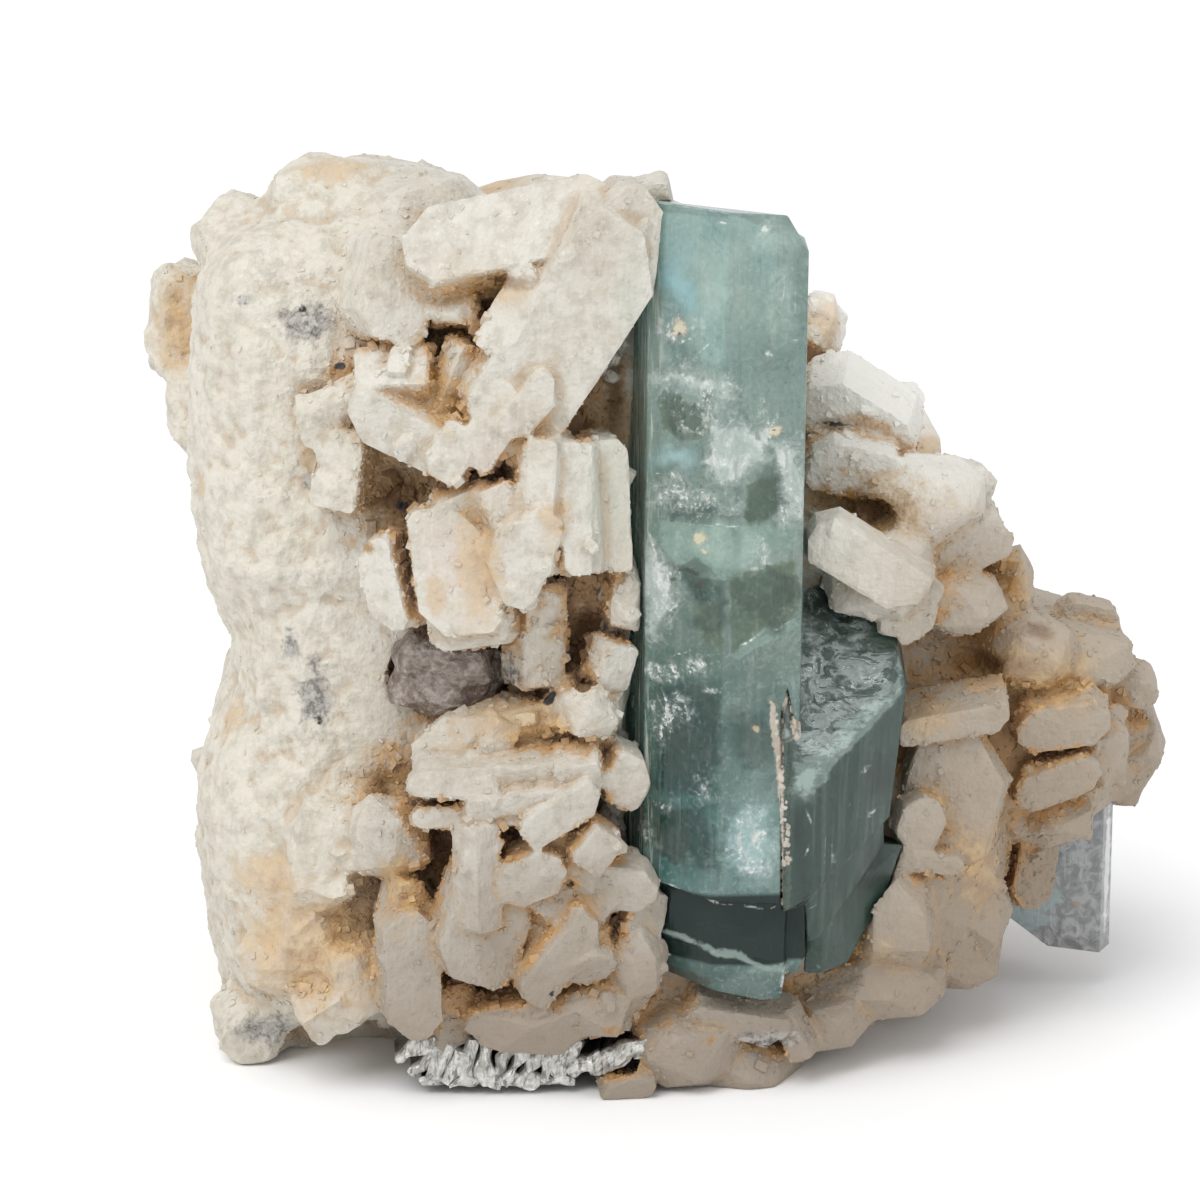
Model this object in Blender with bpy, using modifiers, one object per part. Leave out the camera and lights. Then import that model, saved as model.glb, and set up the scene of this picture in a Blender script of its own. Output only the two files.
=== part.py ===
# Aquamarine crystals on a lump of white albite feldspar.
#
# The specimen stands on its flat-cut underside with its best face towards -Y. Lengths are in
# millimetres until the mesh is made, and the frame's origin is on the underside, below the middle.

import math
import random
from collections import namedtuple

import bmesh
import bpy
from mathutils import Matrix, Vector, noise

MM = 0.001

# Driving dimensions in millimetres
CONTACT_GAP = 0.3
FUSING_STEP = 0.9

LUMPS_A_BOULDER = 7
FACETS_KEPT = 0.0245

# The front is laid out as the eye sees it: EYE_DISTANCE away from MIDDLE and a little above it.
EYE_DISTANCE = 300.0
EYE_ANGLE = math.radians(13.0)
MIDDLE = Vector((-5.5, 0.0, 42.3))
SIGHT = Vector((0.0, math.cos(EYE_ANGLE), -math.sin(EYE_ANGLE)))
EYE = MIDDLE - EYE_DISTANCE * SIGHT


def seen(across, up, depth):
    """The point at y = depth that lies behind (across, up) on the upright plane through MIDDLE."""
    rise = Vector((0.0, math.sin(EYE_ANGLE), math.cos(EYE_ANGLE)))
    ray = EYE_DISTANCE * SIGHT + Vector((across, 0.0, 0.0)) + up * rise
    return EYE + ray * ((depth - EYE.y) / ray.y)


# across, up and depth place the middle. turn is the long side's angle from level, tip leans it
# towards the eye and roll turns it about itself, in degrees. clip is how much of each corner is cut.
Blade = namedtuple("Blade", "name across up depth length width thick turn tip roll clip")
Lump = namedtuple("Lump", "name across up depth wide deep high")
Boulder = namedtuple("Boulder", "name middle half power")

BOULDERS = [
    Boulder("core", (-10, 4, 41), (19, 25, 41.2), 4.0),
    Boulder("crown", (-27.5, 5, 69), (12.5, 18, 16.6), 3.0),
    Boulder("left top", (-31.0, 4, 60), (14.3, 25, 22.5), 3.4),
    Boulder("left waist", (-28.9, 4, 38), (13.2, 24.5, 18), 3.2),
    Boulder("left foot", (-31.3, 3, 19), (14.2, 24, 21), 3.2),
    Boulder("right shoulder", (14.2, 7, 45), (12.2, 20, 20), 2.8),
    Boulder("right arm", (29.4, 7.4, 29.4), (19.0, 16.4, 12.8), 2.8),
    Boulder("bottom", (-4, 4, 12), (26, 26, 14), 3.4),
    Boulder("right foot", (19.4, 4, 17.6), (16.6, 21.4, 13.6), 2.8),
    Boulder("back foot", (22, 18, 8), (12, 12, 10), 3.0),
]

SQUARE = (0.12, 0.10, 0.14, 0.08)
CHISEL = (0.42, 0.12, 0.30, 0.10)
POINTED = (0.50, 0.46, 0.12, 0.16)
ROUND = (0.34, 0.30, 0.36, 0.32)

UPPER_BLADES = [
    Blade("upper block", -21.2, 31.0, -22.0, 9.6, 7.6, 7.0, 78, 10, 18, CHISEL),
    Blade("upper shelf", -8.3, 35.7, -22.5, 21.0, 8.4, 8.0, 12, 0, -28, ROUND),
    Blade("long slab", -3.8, 26.5, -26.5, 25.0, 10.4, 4.6, 57, 0, 8, CHISEL),
    Blade("slab shoulder", -8.0, 28.6, -27.0, 9.0, 4.6, 3.6, 62, 4, -30, POINTED),
    Blade("slab head", 2.2, 35.4, -25.0, 12.0, 6.2, 6.0, 84, 0, 12, ROUND),
    Blade("slab step", -10.6, 17.4, -28.2, 8.4, 4.4, 2.6, 57, 0, -6, CHISEL),
    Blade("slab lower step", -7.2, 19.4, -28.6, 7.4, 3.6, 2.4, 50, 0, 10, POINTED),
    Blade("top corner", 3.2, 38.9, -12.0, 8.0, 5.4, 8.0, 14, 0, 0, SQUARE),
    Blade("square block", -20.7, 22.2, -24.5, 7.2, 4.4, 4.4, 2, 0, 45, SQUARE),
    Blade("jagged plate", -18.8, 16.6, -26.5, 13.0, 5.2, 3.0, -26, 0, 14, POINTED),
    Blade("jagged tip", -14.6, 14.8, -28.0, 5.6, 4.2, 2.6, 58, 0, -8, CHISEL),
    Blade("stained blade", -14.4, 21.6, -24.5, 8.4, 3.8, 3.0, 68, 0, 30, CHISEL),
    Blade("left tooth", -26.8, 18.6, -22.5, 7.4, 4.8, 4.0, 18, 0, 20, CHISEL),
    Blade("hollow cheek", -26.0, 13.2, -22.5, 8.0, 5.6, 4.0, 82, 0, -12, SQUARE),
]

MIDDLE_BLADES = [
    Blade("broad plate", -14.2, 3.0, -27.8, 12.4, 8.8, 2.8, 97, 8, -12, CHISEL),
    Blade("broad plate underlayer", -13.7, 2.0, -25.6, 13.0, 8.6, 2.6, 99, 6, -10, SQUARE),
    Blade("left point", -21.2, 1.8, -25.8, 9.2, 4.2, 3.4, -76, -4, 22, POINTED),
    Blade("plate shoulder", -13.4, 9.4, -26.5, 5.4, 4.6, 3.6, 24, 0, 14, SQUARE),
    Blade("tongue", -8.0, 4.6, -29.6, 9.6, 6.2, 3.0, -112, 0, -10, POINTED),
    Blade("tongue block", -10.0, 9.2, -28.6, 4.8, 3.6, 3.2, 112, 0, 24, SQUARE),
    Blade("sheaf one", -7.6, 9.8, -27.0, 12.2, 3.0, 5.0, 84, 3, 16, CHISEL),
    Blade("sheaf two", -5.4, 9.6, -28.0, 13.0, 3.2, 5.0, 87, 2, -14, SQUARE),
    Blade("sheaf three", -3.0, 9.4, -27.0, 12.8, 3.2, 5.0, 91, 4, 18, CHISEL),
    Blade("sheaf four", -0.8, 9.6, -25.8, 12.6, 3.0, 5.0, 94, 2, -18, SQUARE),
    Blade("sheaf five", 1.2, 9.8, -24.4, 13.0, 2.8, 5.0, 92, 3, 12, CHISEL),
    Blade("post", -6.4, -3.0, -23.4, 10.6, 5.0, 4.4, 88, 0, 28, SQUARE),
    Blade("white facet", 1.0, -6.2, -25.0, 4.6, 3.6, 3.6, 74, 0, 32, SQUARE),
    Blade("shelf chip", -10.2, -13.4, -26.6, 3.8, 3.2, 3.0, 64, 0, 20, SQUARE),
    Blade("shelf upper", -11.3, -16.6, -27.4, 14.0, 2.8, 5.0, 3, 0, 14, CHISEL),
    Blade("shelf left", -14.6, -18.4, -28.0, 8.8, 2.6, 5.0, -4, 0, -10, ROUND),
    Blade("shelf right", -8.0, -19.2, -28.4, 10.6, 2.6, 4.6, 7, 0, 16, CHISEL),
    Blade("shelf lower", -13.0, -21.4, -27.2, 11.0, 2.4, 5.0, 2, 0, -12, ROUND),
    Blade("shelf end", -2.2, -16.6, -28.4, 4.4, 3.4, 4.0, 10, 0, 22, SQUARE),
    Blade("shelf brace", -4.0, -20.8, -29.4, 8.6, 4.0, 3.4, 33, 0, 12, CHISEL),
    Blade("crystal neighbour", 2.4, -17.4, -26.6, 5.4, 5.0, 4.0, 62, 0, 14, CHISEL),
]

LOWER_BLADES = [
    Blade("upright prism", -12.2, -27.6, -29.6, 10.6, 3.4, 3.4, 91, 0, 40, SQUARE),
    Blade("fan plate", -11.8, -32.2, -27.2, 11.4, 9.0, 4.6, 68, 4, 16, CHISEL),
    Blade("fan back", -8.6, -31.0, -25.6, 11.4, 7.0, 4.4, 44, 0, 10, CHISEL),
    Blade("rounded block", -7.0, -27.0, -28.4, 7.2, 5.4, 4.0, 24, 0, 12, ROUND),
    Blade("cube", -0.6, -24.4, -29.2, 4.4, 4.0, 3.6, 52, 0, 16, SQUARE),
    Blade("cube stem", -3.8, -24.6, -27.2, 6.4, 4.0, 3.2, 124, 0, 0, CHISEL),
    Blade("crystal chock", 1.8, -27.8, -26.6, 8.0, 5.2, 4.0, -10, 0, 14, ROUND),
    Blade("fan wedge", -5.2, -29.4, -27.4, 6.4, 4.2, 2.6, 142, 0, 8, POINTED),
    Blade("left column", -19.0, -36.8, -27.0, 13.4, 5.8, 5.0, 93, 0, 12, ROUND),
    Blade("column head", -19.6, -30.6, -24.8, 6.6, 4.2, 4.0, 74, 0, 24, CHISEL),
    Blade("column foot", -15.2, -41.0, -24.0, 7.2, 4.0, 4.0, 84, 0, 30, SQUARE),
    Blade("left block", -27.4, -40.6, -23.6, 5.6, 5.0, 5.0, 32, 0, 30, SQUARE),
    Blade("diagonal blade", -4.2, -35.2, -28.2, 10.8, 4.4, 3.8, 52, 0, 16, CHISEL),
    Blade("diagonal head", -0.8, -30.4, -26.2, 6.2, 4.0, 4.0, 50, 0, -10, SQUARE),
    Blade("round-topped block", -1.2, -35.4, -27.4, 5.0, 4.4, 4.0, 22, 0, 34, ROUND),
    Blade("crystal wedge", 4.2, -30.8, -25.0, 5.2, 4.2, 4.0, 70, 0, 20, SQUARE),
    Blade("tan slab", 13.8, -41.4, -23.4, 10.4, 4.0, 4.0, -8, 0, 20, CHISEL),
    Blade("tan tooth", 19.4, -43.0, -23.4, 5.8, 2.6, 2.6, -66, 0, 20, SQUARE),
    Blade("rusty tip", 2.6, -48.0, -25.0, 5.6, 3.4, 4.0, 20, 0, 20, ROUND),
]

RIGHT_BLADES = [
    Blade("shoulder slab", 26.0, 18.8, -8.0, 12.6, 7.0, 7.0, -32, 0, 18, ROUND),
    Blade("shoulder step", 25.0, 13.6, -12.5, 8.4, 6.0, 5.0, -14, 0, 10, CHISEL),
    Blade("white blade", 26.6, 3.8, -22.6, 12.6, 5.6, 3.4, -32, 0, 6, CHISEL),
    Blade("white blade twin", 29.8, 2.8, -20.4, 9.4, 3.0, 3.0, -40, 0, 12, CHISEL),
    Blade("rusty-edged block", 36.0, 5.6, -12.6, 9.2, 5.6, 4.0, 26, 0, 18, SQUARE),
    Blade("under block", 30.4, -1.2, -17.4, 6.4, 5.0, 4.0, 34, 0, 14, ROUND),
    Blade("far knob", 48.8, -1.4, 2.0, 6.2, 3.2, 4.0, -12, 0, 0, ROUND),
    Blade("ledge", 35.0, -11.2, -14.6, 11.4, 3.4, 6.0, 10, 0, 12, CHISEL),
    Blade("large plate", 35.2, -19.0, -14.6, 13.6, 10.4, 3.2, 76, 0, -8, CHISEL),
    Blade("plate lobe", 31.8, -22.2, -17.4, 6.2, 5.0, 3.0, 70, 0, 6, ROUND),
    Blade("thin ledge", 32.4, -25.4, -16.6, 7.8, 2.2, 5.0, -4, 0, 6, ROUND),
    Blade("hanging blade", 43.0, -26.4, -1.0, 9.0, 5.0, 4.0, 82, 0, 10, ROUND),
    Blade("lower chock", 32.4, -29.2, -15.4, 5.4, 3.6, 4.0, 62, 0, 12, CHISEL),
    Blade("arm flake", 53.0, -8.2, -1.0, 5.6, 3.4, 5.0, -20, 0, 12, ROUND),
    Blade("arm scallop", 46.0, -11.8, -9.6, 9.8, 5.4, 4.4, 8, 0, 12, ROUND),
    Blade("arm scale", 45.4, -17.4, -9.0, 9.4, 4.6, 4.4, 22, 0, 14, ROUND),
]

LUMPS = [
    Lump("top left corner", -35.8, 36.6, 1.0, 5.0, 8.0, 4.4),
    Lump("top left", -26.4, 40.8, -1.0, 7.0, 7.0, 3.8),
    Lump("top middle", -17.4, 39.2, -4.0, 6.0, 7.0, 3.6),
    Lump("edge growth top", -42.0, 30.6, 7.0, 3.6, 5.0, 3.6),
    Lump("edge growth", -42.0, 25.6, 6.0, 3.6, 5.0, 5.0),
    Lump("edge growth foot", -40.6, 19.6, 4.0, 3.0, 5.0, 6.4),
    Lump("under the shelf", -14.6, 29.2, -23.0, 2.8, 3.0, 2.4),
    Lump("under the shelf small", -12.6, 26.2, -24.0, 1.8, 2.4, 1.6),
    Lump("beside the cavity", 2.4, 0.4, -23.6, 2.2, 3.0, 3.6),
    Lump("white chunk", -1.0, -11.0, -27.4, 2.9, 3.0, 3.2),
    Lump("tan crust", -9.6, -12.0, -23.6, 6.4, 4.0, 2.2),
    Lump("tan crust left", -15.4, -14.4, -23.0, 4.0, 4.0, 2.0),
    Lump("left cheek", -27.4, -25.0, -20.6, 4.2, 4.4, 6.6),
    Lump("beside the hollow", -21.0, -23.6, -23.6, 4.2, 4.0, 4.0),
    Lump("stained knob", -32.4, -35.6, -19.4, 4.2, 4.4, 4.0),
    Lump("left heel", -34.6, -42.0, -15.0, 4.4, 5.0, 4.4),
    Lump("stained knob small", -29.6, -33.6, -21.6, 2.6, 3.0, 2.6),
    Lump("left of column", -24.0, -37.6, -23.4, 3.4, 3.4, 4.6),
    Lump("beside the crystal foot", 3.7, -36.0, -25.4, 3.0, 3.0, 4.6),
    Lump("low roll", -7.0, -41.4, -24.6, 6.6, 4.6, 3.6),
    Lump("low roll right", -0.6, -40.2, -25.2, 4.4, 4.0, 3.2),
    Lump("under the crystal", 8.4, -44.4, -22.4, 5.4, 5.0, 4.2),
    Lump("under the tan slab", 14.6, -46.0, -19.6, 5.4, 5.0, 3.6),
    Lump("behind the white chunk", -1.2, -10.6, -22.4, 3.6, 4.4, 4.4),
    Lump("behind the white blade", 28.0, 2.6, -17.4, 5.6, 5.4, 4.6),
    Lump("pale back corner", 22.0, 27.0, 2.0, 2.6, 5.0, 4.2),
    Lump("shoulder knob", 30.6, 20.2, -4.0, 2.1, 2.8, 2.0),
    Lump("brown bowl", 32.2, 10.2, -13.0, 6.2, 5.0, 4.4),
    Lump("shoulder edge", 36.2, 10.6, -6.0, 3.2, 4.0, 4.2),
    Lump("grey lump", 36.0, 0.0, -12.8, 4.6, 4.0, 3.4),
    Lump("yellow lump", 40.8, 1.6, -6.0, 2.5, 3.4, 4.2),
    Lump("arm top", 46.8, -5.6, -2.8, 7.0, 6.0, 3.4),
    Lump("arm root", 43.0, -4.8, -7.4, 4.6, 5.0, 4.0),
    Lump("arm end", 53.4, -13.8, 5.0, 3.2, 6.0, 4.4),
    Lump("arm end foot", 51.8, -17.8, 5.0, 2.2, 4.6, 2.8),
    Lump("arm belly", 49.8, -14.8, -5.0, 3.4, 4.6, 4.4),
    Lump("arm underside", 44.8, -21.6, -4.6, 4.8, 5.0, 2.8),
    Lump("smooth lump", 36.0, -30.4, -9.0, 5.4, 6.0, 5.2),
    Lump("crystal side lump", 29.4, -31.6, -17.6, 4.0, 5.0, 5.0),
    Lump("low right roll", 28.0, -37.8, -15.0, 7.0, 6.0, 3.9),
    Lump("low right end", 35.2, -34.8, -7.0, 5.0, 6.0, 4.2),
    Lump("low right root", 22.4, -41.2, -17.0, 5.0, 6.0, 3.8),
]

HOLLOWS = [
    Lump("brown hollow", -20.0, 11.0, -25.0, 3.9, 4.2, 3.8),
    Lump("gap under the shelf", -15.6, 25.4, -26.0, 3.8, 4.4, 1.9),
    Lump("cavity by the post", -1.4, -3.6, -26.0, 2.2, 5.2, 5.2),
    Lump("left pocket", -21.8, -17.2, -24.6, 3.0, 3.6, 2.0),
    Lump("stained pocket", -22.4, -29.6, -24.6, 2.2, 3.0, 1.6),
    Lump("slot under the fan", -12.0, -38.6, -28.0, 4.4, 4.0, 1.3),
    Lump("rusty pocket", 26.8, 8.2, -17.6, 2.6, 4.0, 1.8),
    Lump("rusty recess", 37.6, -5.8, -15.4, 4.8, 4.4, 2.2),
    Lump("arch under the left front", -25.2, -48.6, -22.0, 7.6, 12.0, 5.8),
]


# Blades out of the photograph's sight, each on a boulder's skin in the direction (x, y, z) from its
# middle. size is length, width and thickness, and turn is about that direction.
Growth = namedtuple("Growth", "boulder direction size turn")

HIDDEN_GROWTH = [
    Growth("crown", (-0.2, 1.0, 0.4), (15, 9, 7), 30),
    Growth("crown", (0.2, 1.0, 0.3), (14, 8, 6), 60),
    Growth("left top", (-0.8, 1.0, 0.4), (13, 8, 6), 20),
    Growth("left top", (-0.3, 1.0, 0.2), (16, 9, 6), -35),
    Growth("left waist", (-0.7, 1.0, 0.0), (14, 8, 6), 70),
    Growth("left foot", (-0.2, 1.0, 0.2), (15, 8, 6), 15),
    Growth("left foot", (-0.7, 1.0, -0.1), (12, 8, 6), -60),
    Growth("core", (0.3, 1.0, 0.7), (17, 9, 6), 50),
    Growth("core", (-0.1, 1.0, 0.1), (18, 10, 6), -20),
    Growth("core", (0.5, 1.0, 0.3), (13, 8, 6), 85),
    Growth("core", (0.7, 0.7, 1.0), (14, 8, 6), 10),
    Growth("core", (0.2, 1.0, -0.6), (15, 9, 6), 35),
    Growth("right shoulder", (0.4, 1.0, 0.5), (15, 9, 6), -45),
    Growth("right shoulder", (0.8, 0.6, 0.8), (13, 7, 6), 25),
    Growth("right arm", (0.3, 1.0, 0.4), (14, 8, 6), 65),
    Growth("right arm", (0.9, 0.9, 0.1), (12, 7, 5), -15),
    Growth("right arm", (0.0, 1.0, -0.4), (15, 8, 6), 5),
    Growth("right foot", (0.7, 0.8, 0.3), (13, 8, 6), 40),
]


def new_object(name, mesh, home):
    obj = bpy.data.objects.new(name, mesh)
    home.objects.link(obj)
    return obj


def finished_mesh(name, bm):
    """The bmesh, drawn in millimetres, as a mesh in metres."""
    bmesh.ops.scale(bm, verts=bm.verts, vec=(MM, MM, MM))
    bmesh.ops.recalc_face_normals(bm, faces=bm.faces)
    mesh = bpy.data.meshes.new(name)
    bm.to_mesh(mesh)
    bm.free()
    return mesh


def pose(middle, turn, tip, roll):
    """Stands a crystal whose length is along X and whose thickness is along Z at its place."""
    face_eye = Matrix.Rotation(math.radians(90), 4, "X")
    about_itself = Matrix.Rotation(math.radians(roll), 4, "X")
    lean = Matrix.Rotation(math.radians(tip), 4, "Z")
    in_view = Matrix.Rotation(-math.radians(turn), 4, "Y")
    return Matrix.Translation(middle) @ in_view @ lean @ face_eye @ about_itself


def plate(size, clip):
    """An eight-sided plate: a box with its four upright edges cut and its front drawn in."""
    bm = bmesh.new()
    bmesh.ops.create_cube(bm, size=1.0)
    bmesh.ops.scale(bm, verts=bm.verts, vec=size)
    corners = [e for e in bm.edges if abs(e.verts[0].co.z - e.verts[1].co.z) > size[2] / 2]
    corners.sort(key=lambda e: math.atan2(e.verts[0].co.y, -e.verts[0].co.x))
    for edge, share in zip(corners, clip):
        bmesh.ops.bevel(
            bm, geom=[edge], offset=share * size[1], offset_type="OFFSET", affect="EDGES",
            segments=1, profile=0.5, material=-1,
        )
    front = [v for v in bm.verts if v.co.z > 0]
    bmesh.ops.scale(bm, verts=front, vec=(0.94, 0.86, 1.0))
    return bm


def blade_mesh(blade):
    bm = plate((blade.length, blade.width, blade.thick), blade.clip)
    middle = seen(blade.across, blade.up, blade.depth)
    bmesh.ops.transform(bm, verts=bm.verts, matrix=pose(middle, blade.turn, blade.tip, blade.roll))
    return finished_mesh(blade.name, bm)


def skin_of(boulder, outward):
    """The point on a boulder's skin in the given direction from its middle."""
    reach = sum(abs(c / h) ** boulder.power for c, h in zip(outward, boulder.half))
    return Vector(boulder.middle) + outward * reach ** (-1.0 / boulder.power)


def hidden_lumps():
    """Lumps that break up the boulders' backs, which the photograph doesn't show."""
    dice = random.Random(7)
    meshes = []
    for boulder in BOULDERS:
        for number in range(LUMPS_A_BOULDER):
            direction = (dice.uniform(-0.6, 0.6), dice.uniform(0.7, 1.1), dice.uniform(-0.9, 0.3))
            middle = skin_of(boulder, Vector(direction).normalized())
            half = [dice.uniform(3.4, 6.6) for axis in "xyz"]
            ball = rough_ball(middle - Vector((0, 1.6, 0)), half, 2.6, 2, 0.25, 4.0)
            meshes.append(finished_mesh("lump on the back of the " + boulder.name, ball))
    return meshes


def growth_mesh(growth):
    """A plate grown out of its boulder's skin, leaning a little."""
    bm = plate(growth.size, CHISEL)
    boulder = next(b for b in BOULDERS if b.name == growth.boulder)
    outward = Vector(growth.direction).normalized()
    skin = skin_of(boulder, outward)
    slope = Vector([
        math.copysign(abs(c / h) ** (boulder.power - 1) / h, c) for c, h in zip(outward, boulder.half)
    ])
    lean = Matrix.Rotation(math.radians(18 if growth.turn > 0 else -24), 4, "X")
    spin = Matrix.Rotation(math.radians(growth.turn), 4, "Z") @ lean
    stand = slope.to_track_quat("Z", "Y").to_matrix().to_4x4()
    bmesh.ops.transform(bm, verts=bm.verts, matrix=Matrix.Translation(skin) @ stand @ spin)
    return finished_mesh("growth on the " + growth.boulder, bm)


def rough_ball(middle, half, power, subdivisions, roughness, grain):
    """A ball drawn out to the half sizes, squarer as power grows, with lumps grain mm across."""
    bm = bmesh.new()
    bmesh.ops.create_icosphere(bm, subdivisions=subdivisions, radius=1.0)
    middle = Vector(middle)
    for v in bm.verts:
        squareness = sum(abs(c) ** power for c in v.co) ** (-1.0 / power)
        place = Vector([c * squareness * h for c, h in zip(v.co, half)])
        swell = noise.noise((place + middle) / grain + Vector((7.3, 1.9, 4.7)))
        v.co = middle + place * (1.0 + roughness * swell)
    return bm


def lump_mesh(lump):
    middle = seen(lump.across, lump.up, lump.depth)
    half = (lump.wide, lump.deep, lump.high)
    return finished_mesh(lump.name, rough_ball(middle, half, 2.3, 2, 0.22, 4.0))


def boulder_mesh(boulder, subdivisions=4):
    bm = rough_ball(boulder.middle, boulder.half, boulder.power, subdivisions, 0.09, 13.0)
    return finished_mesh(boulder.name, bm)


# A crystal is built from rings of corners, top ring first. Each corner is (x, y, z) in mm, and the
# corners go round from the left through the front to the back.

TALL_TOP = [
    (-2.2, -20.0, 84.2), (-1.2, -26.0, 84.6), (5.8, -29.3, 83.8), (11.0, -28.7, 83.5),
    (12.9, -28.2, 80.4), (13.0, -21.4, 80.8), (10.0, -14.6, 82.2), (1.2, -13.8, 83.0),
]
TALL_LEDGE = [
    (-3.3, -20.0, 21.9), (-1.5, -26.0, 21.9), (4.6, -29.3, 20.7), (10.4, -28.9, 20.2),
    (12.6, -28.5, 20.0), (13.4, -21.4, 20.6), (9.8, -14.4, 22.0), (0.4, -13.6, 22.0),
]
TALL_BAND_TOP = [
    (-2.3, -20.2, 21.7), (-0.6, -25.2, 21.7), (5.0, -28.3, 20.5), (10.0, -28.2, 20.0),
    (11.7, -27.8, 19.8), (13.0, -21.4, 20.4), (9.6, -15.0, 21.8), (0.8, -14.2, 21.8),
]
TALL_BAND_FOOT = [
    (-2.3, -20.2, 16.6), (-0.7, -25.1, 15.9), (5.0, -28.2, 15.5), (10.0, -28.1, 14.3),
    (11.6, -27.7, 14.0), (13.0, -21.4, 15.2), (9.6, -15.0, 16.0), (0.8, -14.2, 16.4),
]
TALL_STUB_TOP = [
    (-2.0, -20.2, 16.4), (-0.3, -24.9, 15.7), (5.0, -28.5, 15.3), (10.0, -28.4, 14.1),
    (11.8, -27.9, 13.8), (12.8, -21.4, 15.0), (9.6, -15.0, 15.8), (1.0, -14.2, 16.2),
]
TALL_FOOT = [
    (-0.6, -20.2, 13.0), (1.0, -24.4, 11.9), (5.2, -27.6, 11.2), (9.6, -27.7, 10.3),
    (11.4, -27.4, 10.4), (12.4, -21.6, 12.4), (9.4, -15.4, 12.6), (1.8, -15.0, 13.0),
]

SHORT_BROKEN_TOP = [
    (11.9, -27.8, 41.0), (13.4, -27.2, 37.0), (15.0, -26.2, 36.6), (18.4, -23.6, 38.8),
    (22.2, -20.2, 42.2), (21.8, -13.6, 46.2), (16.6, -11.6, 47.6), (13.6, -18.4, 47.4),
]
SHORT_SHOULDER = [
    (11.2, -29.0, 37.8), (12.9, -28.6, 31.2), (15.2, -27.4, 33.2), (19.0, -24.8, 35.8),
    (23.2, -21.0, 39.0), (22.8, -13.0, 44.5), (16.5, -11.0, 46.5), (13.0, -18.5, 46.0),
]
SHORT_LEDGE = [
    (11.4, -28.9, 19.4), (13.0, -28.4, 20.2), (15.0, -27.4, 21.6), (18.6, -24.6, 24.0),
    (21.8, -21.3, 26.2), (22.0, -13.0, 26.8), (16.5, -11.0, 26.0), (13.2, -18.5, 22.4),
]
SHORT_BAND_TOP = [
    (13.6, -26.7, 19.3), (14.2, -26.8, 20.0), (15.2, -26.4, 21.3), (18.4, -23.9, 23.7),
    (21.3, -20.8, 25.9), (21.6, -13.4, 26.4), (16.6, -11.6, 25.6), (14.2, -18.5, 22.0),
]
SHORT_BAND_FOOT = [
    (13.8, -25.9, 15.4), (14.4, -26.1, 15.6), (15.1, -26.0, 16.0), (18.3, -23.6, 19.6),
    (21.4, -20.6, 23.4), (21.6, -13.4, 22.0), (16.6, -11.6, 20.0), (14.4, -18.5, 16.4),
]
SHORT_STUB_TOP = [
    (13.9, -24.6, 15.2), (14.5, -24.8, 15.4), (15.3, -24.9, 15.8), (18.2, -22.6, 19.4),
    (23.2, -20.0, 23.0), (22.6, -13.4, 21.8), (16.6, -12.0, 19.8), (14.6, -18.5, 16.2),
]
SHORT_FOOT = [
    (13.7, -24.4, 12.0), (14.4, -24.6, 11.8), (15.4, -24.4, 11.8), (18.0, -22.2, 12.0),
    (21.8, -19.8, 18.4), (21.0, -14.0, 17.0), (16.6, -12.6, 14.0), (14.6, -18.5, 12.4),
]

SIDE_TOP = [
    (34.8, 4.6, 24.0), (36.6, 1.4, 24.0), (41.0, 1.1, 24.4), (45.8, 1.0, 25.0), (47.2, 3.4, 25.0),
    (46.6, 7.4, 25.0), (36.6, 8.0, 24.0),
]
SIDE_FOOT = [
    (34.6, 4.6, 9.6), (36.4, 1.4, 8.6), (40.6, 1.1, 5.4), (46.0, 1.0, 4.7), (47.4, 3.4, 4.8),
    (46.8, 7.4, 5.4), (36.6, 8.0, 8.6),
]


def crystal_mesh(name, rings, top_middle, foot_middle, swell=0.0):
    """A closed prism through the rings. swell pushes its faces outwards by that many mm."""
    bm = bmesh.new()
    levels = [[bm.verts.new(corner) for corner in ring] for ring in rings]
    for upper, lower in zip(levels, levels[1:]):
        for i in range(len(upper)):
            j = (i + 1) % len(upper)
            bm.faces.new((upper[i], lower[i], lower[j], upper[j]))
    top = bm.verts.new(top_middle)
    foot = bm.verts.new(foot_middle)
    for i in range(len(levels[0])):
        j = (i + 1) % len(levels[0])
        bm.faces.new((top, levels[0][i], levels[0][j]))
        bm.faces.new((foot, levels[-1][j], levels[-1][i]))
    bmesh.ops.recalc_face_normals(bm, faces=bm.faces)
    bm.normal_update()
    shifts = [v.normal * swell * v.calc_shell_factor() for v in bm.verts]
    for v, shift in zip(bm.verts, shifts):
        v.co += shift
    return finished_mesh(name, bm)


def tall_mesh(name, swell=0.0):
    rings = [TALL_TOP, TALL_LEDGE, TALL_BAND_TOP, TALL_BAND_FOOT, TALL_STUB_TOP, TALL_FOOT]
    return crystal_mesh(name, rings, (5.5, -21.0, 83.4), (6.0, -21.0, 12.0), swell)


def short_mesh(name, swell=0.0):
    rings = [
        SHORT_BROKEN_TOP, SHORT_SHOULDER, SHORT_LEDGE, SHORT_BAND_TOP, SHORT_BAND_FOOT,
        SHORT_STUB_TOP, SHORT_FOOT,
    ]
    return crystal_mesh(name, rings, (17.0, -20.0, 43.6), (17.6, -18.5, 13.0), swell)


def side_mesh(name, swell=0.0):
    return crystal_mesh(name, [SIDE_TOP, SIDE_FOOT], (41.5, 4.6, 24.6), (41.5, 4.6, 6.6), swell)


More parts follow.
